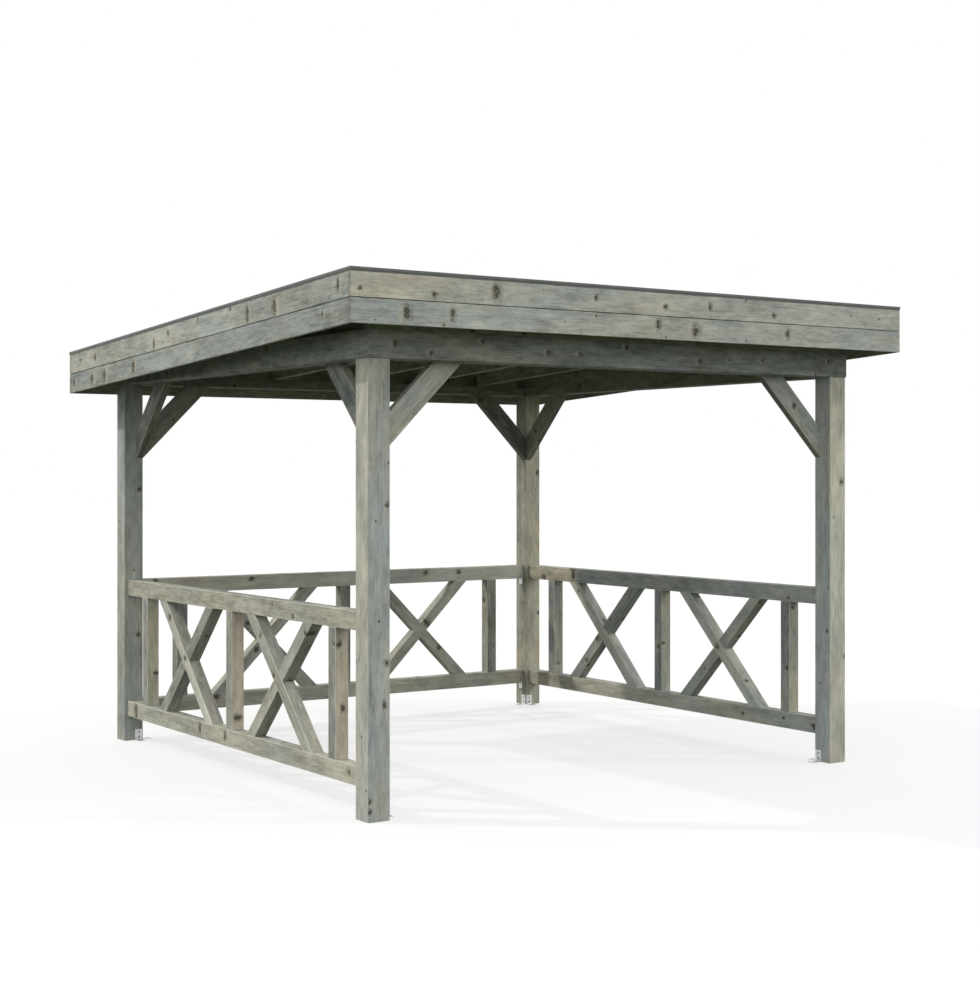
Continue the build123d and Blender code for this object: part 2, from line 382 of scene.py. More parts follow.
def surface_of(graph: Graph, colour: object, rough: object, height: object, depth: float, strength: float,
               metallic: float = 0.0, specular: float = 0.5) -> None:
    """Finish a material with one principled surface and a bump.

    Args:
        graph: The material's graph.
        colour: Base colour or its socket.
        rough: Roughness or its socket.
        height: Socket of the relief, 0 to 1.
        depth: How deep the relief is, in metres.
        strength: How strongly the relief shows.
        metallic: One for bare metal.
        specular: The shader's specular level.
    """
    bump = graph.add("ShaderNodeBump", {"Strength": strength, "Distance": depth, "Height": height})
    inputs = {"Base Color": colour, "Roughness": rough, "Metallic": metallic, "Normal": bump.outputs[0]}
    shader = graph.add("ShaderNodeBsdfPrincipled", inputs)
    shader.inputs["Specular IOR Level"].default_value = specular
    graph.add("ShaderNodeOutputMaterial", {"Surface": shader.outputs[0]})


@dataclass(frozen=True)
class TimberFinish:
    """Dipped and weathered spruce: growth rings, fibres, knots with their shades, drying cracks, face tones with
    painted light and shade, and edges painted pale, partly as wear and partly as a painted highlight.
    """

    name: str = "weathered_timber"
    cool: Colour = (145, 150, 148)
    warm: Colour = (174, 169, 151)
    # Rosy wood; the same colour also paints warm sunlight on some faces.
    rosy_and_sunlit: Colour = (172, 157, 143)
    knot: Colour = (50, 46, 41)
    heart: Colour = (112, 99, 80)
    shade: Colour = (104, 98, 87)
    pale: Colour = (192, 187, 170)
    crack: Colour = (52, 50, 43)
    # Pale paint on eased edges: wear, and a painted highlight along the arrises.
    wear_and_highlight: Colour = (204, 203, 191)
    ring: float = 0.0042

    def knots(self, graph: Graph, grain: object) -> tuple[Socket, ...]:
        """Draw the knot that each face carries.

        Args:
            graph: The material's graph.
            grain: Socket of the place along the grain.

        Returns:
            How much there is of a knot, its brown heart, its shade, the pale wood beside it and its swirl.
        """
        along, across, spread = graph.split(graph.read("face").outputs["Vector"])
        middle, level, radius = graph.split(graph.read("knot").outputs["Vector"])
        wobble = graph.noise(grain, (70, 110, 110), 2.0, 0.5)
        drift = graph.noise(grain, (28, 40, 40), 2.0, 0.5)
        push = graph.plus(graph.swing(wobble, 2.0), graph.swing(drift, 1.7))
        far_along = graph.over(graph.minus(along, middle), radius)
        far_across = graph.over(graph.minus(across, level), radius)
        tall = graph.over(far_across, spread)
        reach = graph.vector("LENGTH", graph.join(far_along, tall, 0.0))
        rim = graph.plus(reach, push)
        core = graph.span(rim, 0.6, 1.25, 1.0, 0.0, "SMOOTHSTEP")
        brown = graph.span(rim, 0.1, 0.55, 1.0, 0.0, "SMOOTHSTEP")
        drawn = graph.join(graph.times(far_along, 0.38), graph.times(tall, 0.6), 0.0)
        around = graph.plus(graph.vector("LENGTH", drawn), graph.times(push, 0.6))
        shade = graph.span(around, 0.3, 1.25, 1.0, 0.0, "SMOOTHSTEP")
        beside = graph.vector("LENGTH", graph.join(graph.plus(far_along, 1.9), graph.times(tall, 0.8), 0.0))
        pale = graph.span(graph.plus(beside, push), 0.7, 1.6, 1.0, 0.0, "SMOOTHSTEP")
        swirl = graph.span(reach, 0.8, 4.5, 1.0, 0.0, "SMOOTHSTEP")
        return core, brown, shade, pale, swirl

    def level(self, graph: Graph, grain: object, lit: object, late: object, fibre: object,
              streak: object) -> Socket:
        """Work out how light the wood is, from its tone with painted light and shade in it, its weathering and its
        figure.

        Args:
            graph: The material's graph.
            grain: Socket of the place along the grain.
            lit: Socket of the tone of the face, with its painted light and shade.
            late: Socket of the late wood.
            fibre: Socket of the finest fibres.
            streak: Socket of the streaks.

        Returns:
            What the colour is multiplied by.
        """
        cloud = graph.noise(graph.vector("ADD", grain, (1.3, 6.1, 3.2)), (2.6, 11, 11), 3.0, 0.55)
        blotch = graph.noise(grain, (11, 34, 34), 4.0, 0.66)
        fleck = graph.noise(grain, (46, 190, 190), 3.0, 0.7)
        level = graph.plus(graph.plus(lit, 1.02), graph.swing(cloud, 1.1))
        for figure, amount in ((blotch, 1.15), (streak, 0.75), (fleck, 0.6), (fibre, 0.28)):
            level = graph.plus(level, graph.swing(figure, amount))
        return graph.minus(level, graph.times(late, 0.2))

    def make(self) -> Material:
        """Build the material.

        Returns:
            The timber material.
        """
        material, graph = new_material(self.name)
        grain = graph.read("grain").outputs["Vector"]
        # Each face brings its tone with painted light and shade, its warmth, which also paints warm sunlight, and the
        # paint on its eased edges.
        lit, warmth, edge = graph.split(graph.read("tone_light_and_edges").outputs["Vector"])
        core, brown, shade, pale, swirl = self.knots(graph, grain)
        along, across, through = graph.split(grain)
        drift = graph.noise(grain, (0.9, 2.5, 2.5), 2.0)
        lean = graph.noise(grain, (5.0, 9.0, 9.0), 2.0)
        bent = graph.plus(graph.swing(drift, 0.09), across)
        from_pith = graph.vector("LENGTH", graph.join(0.0, bent, through))
        turn = graph.plus(graph.swing(lean, 0.012), from_pith)
        phase = graph.math("MULTIPLY_ADD", swirl, 2.6, graph.over(turn, self.ring))
        late = graph.math("POWER", graph.math("FRACT", phase), 2.4)
        fibre = graph.noise(grain, (16, 640, 640), 3.0, 0.6)
        streak = graph.noise(grain, (7.0, 120, 120), 3.0, 0.65)
        patch = graph.noise(grain, (1.5, 5.0, 5.0), 3.0, 0.6)
        blush = graph.noise(graph.vector("ADD", grain, (7.3, 2.1, 5.4)), (3.2, 14.0, 14.0), 3.0, 0.6)
        hue = graph.plus(graph.plus(warmth, graph.swing(patch, 1.5)), graph.swing(streak, 0.3), clamp=True)
        colour = graph.blend(hue, tint(*self.cool), tint(*self.warm))
        # Warmth above one paints a rosy flush that stands in for warm sunlight on some faces; the blush adds the wood's
        # own rosy patches.
        rosy_and_sunlit_share = graph.minus(warmth, 1.0, clamp=True)
        rosy_and_sunlit_share = graph.plus(rosy_and_sunlit_share, graph.span(blush, 0.52, 0.7, 0.0, 0.4), clamp=True)
        colour = graph.blend(rosy_and_sunlit_share, colour, tint(*self.rosy_and_sunlit))
        level = self.level(graph, grain, lit, late, fibre, streak)
        colour = graph.vector("MULTIPLY", colour, graph.join(level, level, level))
        # Eased edges are painted pale in patches: partly wear, partly a painted highlight along the arrises.
        edge_wear_and_highlight = graph.noise(grain, (9, 60, 60), 3.0, 0.6)
        wear_and_highlight = graph.times(edge, graph.span(edge_wear_and_highlight, 0.36, 0.58, 0.25, 0.85))
        colour = graph.blend(wear_and_highlight, colour, tint(*self.wear_and_highlight))
        slit = graph.noise(graph.vector("ADD", grain, (3.7, 8.8, 1.9)), (1.8, 150, 150), 1.0)
        rare = graph.noise(grain, (1.6, 9.0, 9.0), 1.0)
        crack = graph.times(graph.span(slit, 0.74, 0.77), graph.span(rare, 0.5, 0.56))
        colour = graph.blend(graph.times(pale, 0.6), colour, tint(*self.pale))
        colour = graph.blend(graph.times(shade, 0.68), colour, tint(*self.shade))
        heart = graph.times(core, graph.span(fibre, 0.25, 0.7, 0.94, 0.66))
        middle = graph.blend(graph.times(brown, 0.6), tint(*self.knot), tint(*self.heart))
        colour = graph.blend(heart, colour, middle)
        colour = graph.blend(graph.times(crack, 0.8), colour, tint(*self.crack))
        height = graph.math("MULTIPLY_ADD", fibre, 0.35, graph.times(late, 0.35))
        height = graph.math("MULTIPLY_ADD", streak, 0.5, height)
        height = graph.minus(height, graph.times(crack, 1.4))
        height = graph.math("MULTIPLY_ADD", core, 0.35, height)
        rough = graph.span(streak, 0.3, 0.7, 0.9, 0.74)
        surface_of(graph, colour, rough, height, 0.0009, 0.55, specular=0.3)
        return material


@dataclass(frozen=True)
class SheetFinish:
    """Roofing felt: mineral granules, rain marks and the dust where water stood."""

    name: str = "granule_felt"
    dark: Colour = (58, 60, 59)
    light: Colour = (104, 106, 103)
    dust: Colour = (112, 111, 102)
    tar: Colour = (34, 35, 35)
    pitch: float = 3.0
    first: float = 0.0
    strip: float = 1.0

    def bleed(self, graph: Graph, place: object) -> Socket:
        """Draw the line of tar that seeps from under each lap.

        Args:
            graph: The material's graph.
            place: Socket of the place on the roof.

        Returns:
            How much tar there is.
        """
        _, y, z = graph.split(place)
        lean = math.radians(self.pitch)
        down = graph.minus(graph.times(y, math.cos(lean)), graph.times(z, math.sin(lean)))
        past = graph.minus(down, self.first)
        beyond = graph.times(graph.math("FRACT", graph.over(past, self.strip)), self.strip)
        ragged = graph.plus(beyond, graph.swing(graph.noise(place, (38, 60, 20), 3.0, 0.6), 0.016))
        seep = graph.span(ragged, 0.003, 0.01, 1.0, 0.0)
        return graph.times(seep, graph.math("GREATER_THAN", past, self.strip * 0.99))

    def make(self) -> Material:
        """Build the material.

        Returns:
            The felt material.
        """
        material, graph = new_material(self.name)
        place = graph.add("ShaderNodeTexCoord").outputs["Object"]
        granules = graph.add("ShaderNodeTexVoronoi", {"Vector": place, "Scale": 520.0})
        grey = graph.split(granules.outputs["Color"])[0]
        cloud = graph.noise(place, (1.4, 2.2, 2.0), 4.0, 0.6)
        run = graph.noise(place, (14.0, 1.6, 2.0), 3.0, 0.6)
        colour = graph.blend(grey, tint(*self.dark), tint(*self.light))
        colour = graph.blend(graph.span(cloud, 0.4, 0.72, 0.0, 0.36), colour, tint(*self.dust))
        colour = graph.blend(graph.span(run, 0.55, 0.75, 0.0, 0.3), colour, tint(*self.dark))
        tar = self.bleed(graph, place)
        colour = graph.blend(graph.times(tar, 0.85), colour, tint(*self.tar))
        height = graph.minus(1.0, granules.outputs["Distance"])
        rough = graph.minus(graph.span(grey, 0.0, 1.0, 0.97, 0.82), graph.times(tar, 0.3))
        surface_of(graph, colour, rough, height, 0.001, 0.6, specular=0.25)
        return material


@dataclass(frozen=True)
class CoatedFinish:
    """Grey coated metal, with a fine orange peel, rain marks and dust."""

    name: str = "coated_trim"
    coat: Colour = (94, 96, 94)
    mark: Colour = (122, 122, 118)
    rough: float = 0.5

    def make(self) -> Material:
        """Build the material.

        Returns:
            The coated metal.
        """
        material, graph = new_material(self.name)
        place = graph.add("ShaderNodeTexCoord").outputs["Object"]
        peel = graph.noise(place, (420, 420, 420), 2.0)
        rain = graph.noise(place, (9.0, 9.0, 1.5), 4.0, 0.62)
        dust = graph.noise(place, (2.3, 2.3, 2.3), 3.0)
        colour = graph.blend(graph.span(rain, 0.5, 0.72, 0.0, 0.5), tint(*self.coat), tint(*self.mark))
        level = graph.span(dust, 0.3, 0.7, 0.88, 1.1)
        colour = graph.vector("MULTIPLY", colour, graph.join(level, level, level))
        rough = graph.span(rain, 0.35, 0.7, self.rough - 0.08, self.rough + 0.12)
        surface_of(graph, colour, rough, peel, 0.0003, 0.25, specular=0.45)
        return material


@dataclass(frozen=True)
class ZincFinish:
    """Hot dipped steel: a patchwork of zinc crystals, dulled in places."""

    name: str = "zinc_steel"
    bright: Colour = (240, 241, 240)
    dull: Colour = (205, 208, 208)
    rough: float = 0.34
    metal: float = 0.8

    def make(self) -> Material:
        """Build the material.

        Returns:
            The zinc coated steel.
        """
        material, graph = new_material(self.name)
        place = graph.add("ShaderNodeTexCoord").outputs["Object"]
        crystals = graph.add("ShaderNodeTexVoronoi", {"Vector": place, "Scale": 190.0})
        shade = graph.split(crystals.outputs["Color"])[1]
        cloud = graph.noise(place, (35, 35, 35), 3.0)
        share = graph.math("MULTIPLY_ADD", shade, 0.55, graph.span(cloud, 0.35, 0.7, 0.0, 0.45), clamp=True)
        colour = graph.blend(share, tint(*self.bright), tint(*self.dull))
        rough = graph.span(shade, 0.0, 1.0, self.rough - 0.08, self.rough + 0.14)
        surface_of(graph, colour, rough, cloud, 0.0002, 0.2, metallic=self.metal)
        return material


def seen_by_camera(graph: Graph) -> Socket:
    """One for a ray that the picture, a reflection or a clear surface sees, and nought for light on the object."""
    path = graph.add("ShaderNodeLightPath").outputs
    first = graph.math("MAXIMUM", path["Is Camera Ray"], path["Is Glossy Ray"])
    return graph.math("MAXIMUM", first, path["Is Transmission Ray"])


@dataclass(frozen=True)
class FloorFinish:
    """Pale studio floor. What is seen of it is near white and keeps the shadow, and it throws little light back."""

    name: str = "studio_floor"
    shown: float = 0.72
    caught: float = 0.2
    bounce: Colour = (63, 70, 52)

    def make(self) -> Material:
        """Build the material.

        Returns:
            The floor material.
        """
        material, graph = new_material(self.name)
        seen = seen_by_camera(graph)
        colour = graph.blend(seen, tint(*self.bounce), (self.caught, self.caught, self.caught, 1.0))
        matt = graph.add("ShaderNodeBsdfDiffuse", {"Color": colour})
        glow = graph.add("ShaderNodeEmission", {"Strength": graph.times(seen, self.shown)})
        both = graph.add("ShaderNodeAddShader", {0: matt.outputs[0], 1: glow.outputs[0]})
        graph.add("ShaderNodeOutputMaterial", {"Surface": both.outputs[0]})
        return material


@dataclass(frozen=True)
class ToneAndLight:
    """How light and how warm a face of a timber is painted at one place along it: the wood's own tone, with painted
    light and shade in it.
    """

    lit: float = 0.0
    warmth: float = 0.5
    at: float = 0.0


TonesAndLight = dict[Side | tuple[Side, int], list[ToneAndLight]]
Marks = dict[Side | tuple[Side, int], list[Knot]]


@dataclass
class Look:
    """What a timber shows: the knots that are chosen, the tones of its sides with light and shade painted into them,
    and the paint on its edges.

    Marks and tones go by side, or by side and stick. Marks take the place of a side's random knots, all but the
    smallest. Edges painted pale, partly as wear and partly as a painted highlight along the arris, take a value above
    nought, and edges painted darker take one below.
    """

    marks: Marks = field(default_factory=dict)
    tones_and_light: TonesAndLight = field(default_factory=dict)
    tone: ToneAndLight = ToneAndLight()
    ease: float = 0.002
    wear_and_highlight: float = 1.0
    spacing: float = 0.42


@dataclass
class Stick:
    """One straight timber of a piece: its outline as corners and faces, and the frame of its grain."""

    corners: list[Vector]
    faces: list[list[int]]
    origin: Vector = field(default_factory=Vector)
    along: Vector = field(default_factory=Vector)
    first: Vector = field(default_factory=Vector)
    second: Vector = field(default_factory=Vector)
    length: float = 0.0

    def settle(self) -> None:
        """Find which way the grain runs and where the four sides lie, from the longest edges."""
        runs: list[tuple[float, Vector]] = []
        for face in self.faces:
            for index, corner in enumerate(face):
                edge = self.corners[corner] - self.corners[face[index - 1]]
                if edge.length > WELD / 10:
                    runs.append((edge.length, edge.normalized()))
        longest = max(runs, key=lambda run: run[0])[1]
        total = Vector()
        for length, way in runs:
            if abs(way.dot(longest)) > PARALLEL:
                total += way * (length if way.dot(longest) > 0 else -length)
        self.along = total.normalized()
        lead = max(range(3), key=lambda axis: abs(self.along[axis]) + BIAS * axis)
        if self.along[lead] < 0:
            self.along.negate()
        helper = Vector((0, 0, 1)) if lead != 2 else Vector((0, 1, 0))
        rise = abs(self.along.z)
        if rise > SLANT and lead != 2 or SLANT < rise < UPRIGHT:
            helper = Vector((1, 0, 0)) if abs(self.along.x) < 0.1 else Vector((0, 1, 0))
        self.first = (helper - self.along * helper.dot(self.along)).normalized()
        self.second = self.along.cross(self.first).normalized()
        reach = [[corner.dot(axis) for corner in self.corners] for axis in (self.along, self.first, self.second)]
        middle = [(min(values) + max(values)) / 2 for values in reach]
        self.origin = self.along * middle[0] + self.first * middle[1] + self.second * middle[2]
        self.length = max(reach[0]) - min(reach[0])

    def order(self) -> tuple[int, ...]:
        """A key that sorts sticks from left to right, front to back and low to high."""
        middle = [min(corner[axis] for corner in self.corners) + max(corner[axis] for corner in self.corners)
                  for axis in range(3)]
        return tuple(math.floor(total / 2 / CELL + CELL_START) for total in middle)

    def place(self, point: Vector) -> Vector:
        """A point in the frame of the grain: along it, and across on the two other axes."""
        local = point - self.origin
        return Vector((local.dot(self.along), local.dot(self.first), local.dot(self.second)))


@dataclass
class Timber:
    """A timber piece of one or more sticks, made from the solid of a CAD node or from a mesh of its own."""

    node: str
    look: Look = field(default_factory=Look)

    def sticks(self, source: bpy.types.Mesh) -> list[Stick]:
        """Part a mesh into its sticks.

        Args:
            source: The mesh, loose triangles or whole faces.

        Returns:
            The sticks, their edges eased.
        """
        shape = bmesh.new()
        shape.from_mesh(source)
        bmesh.ops.remove_doubles(shape, verts=shape.verts, dist=WELD)
        bmesh.ops.dissolve_limit(shape, angle_limit=PLANE, verts=shape.verts, edges=shape.edges)
        shape.normal_update()
        sharp = [edge for edge in shape.edges if edge.is_manifold and edge.is_convex
                 and edge.calc_face_angle(0.0) > SHARP]
        bmesh.ops.bevel(shape, geom=sharp, offset=self.look.ease, segments=2, profile=0.6, affect="EDGES",
                        clamp_overlap=True)
        shape.faces.ensure_lookup_table()
        shape.faces.index_update()
        found: list[Stick] = []
        reached: set[int] = set()
        for start in shape.faces:
            if start.index in reached:
                continue
            reached.add(start.index)
            group = [start]
            for face in group:
                for edge in face.edges:
                    for other in edge.link_faces:
                        if other.index not in reached:
                            reached.add(other.index)
                            group.append(other)
            numbers: dict[bmesh.types.BMVert, int] = {}
            faces = []
            for face in group:
                faces.append([numbers.setdefault(vert, len(numbers)) for vert in face.verts])
            found.append(Stick([vert.co.copy() for vert in numbers], faces))
        shape.free()
        found.sort(key=Stick.order)
        for stick in found:
            stick.settle()
        return found

    def side_of(self, stick: Stick, normal: Vector) -> tuple[int, bool]:
        """Tell which side of its stick a face is on.

        Args:
            stick: The stick.
            normal: The face's normal.

        Returns:
            The side, 0 and 1 for the first axis, 2 and 3 for the second, 4 for an end, and whether it is an edge.
        """
        turned = (normal.dot(stick.first), normal.dot(stick.second), normal.dot(stick.along))
        lead = max(range(3), key=lambda axis: abs(turned[axis]) + (BIAS if axis == 2 else 0.0))
        edge = abs(turned[lead]) < SQUARE and abs(turned[2]) <= SLANT
        if lead == 2:
            return 4, False
        return 2 * lead + (1 if turned[lead] > 0 else 0), edge

    def facing(self, stick: Stick, side: int) -> Side:
        """The way a side of a stick faces on the gazebo."""
        normal = (stick.first if side < 2 else stick.second) * (1 if side % 2 else -1)
        return max(Side, key=lambda way: normal.dot(Vector(way.value)) + (BIAS if way.value[2] else 0.0))

    def knots(self, stick: Stick, number: int, chance: random.Random) -> dict[int, list[Spot]]:
        """Lay out the knots of a stick, side by side.

        Args:
            stick: The stick.
            number: Which stick of the piece it is.
            chance: The piece's own source of chance.

        Returns:
            For each side, knots as place along, place across, radius and how far each is drawn out.
        """
        laid: dict[int, list[Spot]] = {side: [] for side in range(4)}
        wide = [max(abs(stick.place(corner)[axis]) for corner in stick.corners) for axis in (2, 1)]
        spot = -stick.length / 2 + chance.uniform(0.05, self.look.spacing)
        while spot < stick.length / 2 - 0.03:
            for side in range(4):
                half = wide[side // 2]
                if chance.random() < 0.4:
                    radius = min(chance.lognormvariate(-4.6, 0.35), half * 0.36)
                    drawn = chance.choice((1.0, 1.0, 1.3, 2.4))
                    place = chance.uniform(-0.8, 0.8) * (half - radius * 0.5)
                    laid[side].append((spot + chance.uniform(-0.03, 0.03), place, radius, drawn))
                elif chance.random() < 0.5:
                    place = chance.uniform(-0.85, 0.85) * half
                    laid[side].append((spot + chance.uniform(-0.15, 0.15), place, chance.uniform(*FLECK), 1.0))
            spot += self.look.spacing * chance.uniform(0.65, 1.35)
        for side in range(4):
            way = self.facing(stick, side)
            chosen = self.look.marks.get((way, number), self.look.marks.get(way))
            if chosen is not None:
                laid[side] = [spot for spot in laid[side] if spot[2] < Size.PIN.value]
                laid[side] += [(knot.place - stick.length / 2, knot.level * wide[side // 2], knot.size.value,
                                knot.drawn) for knot in chosen]
            laid[side].sort()
        return laid

    def tone_at(self, profile: list[ToneAndLight], share: float) -> tuple[float, float]:
        """How light and how warm a side is painted at a share of the stick's length, painted light and shade included,
        between the stops on either side.
        """
        for index, stop in enumerate(profile):
            if share <= stop.at:
                before = profile[index - 1] if index else stop
                part = (share - before.at) / max(stop.at - before.at, 1e-6) if index else 0.0
                return (before.lit + (stop.lit - before.lit) * part,
                        before.warmth + (stop.warmth - before.warmth) * part)
        return profile[-1].lit, profile[-1].warmth

    def cut(self, stick: Stick, laid: dict[int, list[Spot]]) -> bmesh.types.BMesh:
        """Cut a stick's faces across the grain, so that each carries one knot at most.

        Args:
            stick: The stick.
            laid: The knots of its sides.

        Returns:
            The cut shape, still one closed stick.
        """
        cuts = {round((a[0] + b[0]) / 2, 4) for side in laid.values() for a, b in zip(side, side[1:])}
        stops = {tone.at for profile in self.look.tones_and_light.values() for tone in profile if 0 < tone.at < 1}
        cuts |= {round(stick.length * (stop - 0.5), 4) for stop in stops}
        step = max(1, round(stick.length / CUT_EVERY))
        cuts |= {round(stick.length * (index / step - 0.5), 4) for index in range(1, step)}
        shape = bmesh.new()
        verts = [shape.verts.new(corner) for corner in stick.corners]
        for face in stick.faces:
            shape.faces.new([verts[index] for index in face])
        last = -math.inf
        for place in sorted(cuts):
            if place - last > CUT_APART:
                last = place
                geometry = shape.verts[:] + shape.edges[:] + shape.faces[:]
                bmesh.ops.bisect_plane(shape, geom=geometry, dist=WELD, plane_no=stick.along,
                                       plane_co=stick.origin + stick.along * place)
        shape.normal_update()
        shape.verts.ensure_lookup_table()
        shape.verts.index_update()
        return shape

    def make(self, material: Material, source: bpy.types.Mesh | None = None) -> bpy.types.Object:
        """Build the piece.

        Args:
            material: Its finish.
            source: Its own mesh, or nothing for the CAD node's.

        Returns:
            The finished object, riding on the gazebo.
        """
        name = f"{self.node}_timber"
        chance = random.Random(zlib.crc32(self.node.encode()))
        points: list[Vector] = []
        polygons: list[list[int]] = []
        layers: dict[str, list[tuple[float, ...]]] = {"face": [], "knot": [], "tone_light_and_edges": [], "grain": []}
        shapes = self.sticks(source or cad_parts[self.node].data)
        for number, stick in enumerate(shapes):
            laid = self.knots(stick, number, chance)
            shape = self.cut(stick, laid)
            pith = (chance.uniform(0.02, 0.09), chance.choice((-1, 1)) * chance.uniform(0.0, 0.07))
            shift = Vector((chance.uniform(0, 40), *pith))
            base = self.look.tone
            plain = [ToneAndLight(base.lit + chance.uniform(-0.06, 0.06), base.warmth + chance.uniform(-0.15, 0.15))
                     for _ in range(5)]
            start = len(points)
            points.extend(vert.co.copy() for vert in shape.verts)
            for face in shape.faces:
                side, edge = self.side_of(stick, face.normal)
                middle = stick.place(face.calc_center_median()).x
                spot = min(laid.get(side, []), key=lambda item: abs(item[0] - middle), default=NO_KNOT)
                profile = [plain[side]]
                if side < 4:
                    way = self.facing(stick, side)
                    profile = self.look.tones_and_light.get((way, number), self.look.tones_and_light.get(way, profile))
                polygons.append([start + vert.index for vert in face.verts])
                for vert in face.verts:
                    local = stick.place(vert.co)
                    # The tone and warmth of each face hold painted light and shade as well as the wood's own tone.
                    lit, warmth = self.tone_at(profile, local.x / stick.length + 0.5)
                    if side == 4:
                        lit, warmth = lit + END_LIT, warmth + END_WARMTH
                    layers["face"].append((local.x, local[2 if side < 2 else 1], spot[3]))
                    layers["knot"].append(spot[:3])
                    # Eased edges are painted pale, as wear and as a painted highlight, or darker where the value is
                    # below nought.
                    edge_wear_and_highlight = self.look.wear_and_highlight if edge else 0.0
                    layers["tone_light_and_edges"].append((lit + min(edge_wear_and_highlight, 0.0), warmth, max(edge_wear_and_highlight, 0.0)))
                    layers["grain"].append(tuple(local + shift))
            shape.free()
        mesh = bpy.data.meshes.new(name)
        mesh.from_pydata(points, [], polygons)
        for layer, values in layers.items():
            attribute = mesh.attributes.new(layer, "FLOAT_VECTOR", "CORNER")
            attribute.data.foreach_set("vector", [part for value in values for part in value])
        mesh.materials.append(material)
        mesh.update()
        piece = bpy.data.objects.new(name, mesh)
        bpy.context.scene.collection.objects.link(piece)
        return seat(piece, "wood", self.node)


def seat(piece: bpy.types.Object, slot: str, *nodes: str) -> bpy.types.Object:
    """Fix a finished piece on the gazebo and report it.

    Args:
        piece: The finished object.
        slot: The record's material slot; not used.
        *nodes: The CAD nodes that it stands for.

    Returns:
        The same object.
    """
    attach(piece, "root")
    if nodes:
        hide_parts(*nodes)
    log.info("%s: %d faces", piece.name, len(piece.data.polygons))
    return piece


def tones_and_light(**sides: tuple[float, float]) -> TonesAndLight:
    """One even tone for each side named, with painted light and shade in it."""
    return {Side[side.upper()]: [ToneAndLight(lit, warmth)] for side, (lit, warmth) in sides.items()}


def by_stick(side: Side, *given: list) -> dict[tuple[Side, int], list]:
    """Knots, or tones with their painted light and shade, of one side, given stick by stick."""
    return {(side, number): each for number, each in enumerate(given)}


@dataclass
class Posts:
    """The four square posts."""

    finish: Material
    ease: float = 0.0012
    wear_and_highlight: float = 0.6
    spacing: float = 0.36

    def looks(self) -> dict[str, Look]:
        """The knots and tones of each post. The tones paint light and shade: some faces darken towards the head, under
        the roof.
        """
        near_front = knots_at(pin=[(0.95, 0.0), (1.7, -0.9)], small=[(0.05, 0.85), (0.1, 0.8), (1.5, -0.7)],
                              medium=[(0.55, -0.5), (0.75, -0.7)])
        near_left = knots_at(pin=[(0.15, -0.7), (0.4, 0.0), (0.75, 0.9), (1.8, 0.9)])
        right_front = knots_at(pin=[(1.4, 0.5)], small=[(0.6, -0.9)], medium=[(1.6, -0.5)])
        right_left = knots_at(pin=[(0.45, 0.3), (0.65, 0.9)], small=[(0.75, -0.6)])
        rear_front = knots_at(pin=[(1.05, 0.0)], medium=[(0.65, -0.5), (1.55, -0.6)])
        rear_left = knots_at(pin=[(1.35, 0.4)])
        last_front = knots_at(small=[(0.65, -0.8)], medium=[(1.65, -0.7)])
        # Painted shade: the front face of the front left post darkens towards its head, under the roof.
        face = [ToneAndLight(0.22, 0.2), ToneAndLight(0.24, 0.12, 0.25), ToneAndLight(0.34, 0.02, 0.5), ToneAndLight(0.3, 0.1, 0.7),
                ToneAndLight(0.08, 0.25, 0.85), ToneAndLight(0.02, 0.3, 1.0)]
        return {
            "front_left_post": Look({Side.FRONT: near_front, Side.LEFT: near_left},
                                    {Side.FRONT: face, **tones_and_light(left=(0.2, 0.42))}),
            # Painted light: the left face of the front right post, in the roof's shade, is painted lighter.
            "front_right_post": Look({Side.FRONT: right_front, Side.LEFT: right_left},
                                     tones_and_light(front=(0.34, 0.7), left=(0.46, 0.03))),
            # Painted shade: both faces of the back left post darken at the head, under the roof.
            "back_left_post": Look({Side.FRONT: rear_front, Side.LEFT: rear_left},
                                   {Side.LEFT: [ToneAndLight(-0.04, 0.2), ToneAndLight(-0.04, 0.2, 0.2), ToneAndLight(0.1, 0.12, 0.35),
                                                ToneAndLight(0.1, 0.15, 0.86), ToneAndLight(-0.1, 0.05, 0.93)],
                                    Side.FRONT: [ToneAndLight(0.24, 0.2), ToneAndLight(0.24, 0.2, 0.82), ToneAndLight(0.04, 0.12, 0.92)]}),
            "back_right_post": Look({Side.FRONT: last_front, Side.LEFT: []},
                                    tones_and_light(front=(0.27, 0.9), left=(-0.08, 0.65))),
        }

    def build(self) -> None:
        """Make the posts."""
        for node, look in self.looks().items():
            look.ease, look.wear_and_highlight, look.spacing = self.ease, self.wear_and_highlight, self.spacing
            Timber(node, look).make(self.finish)


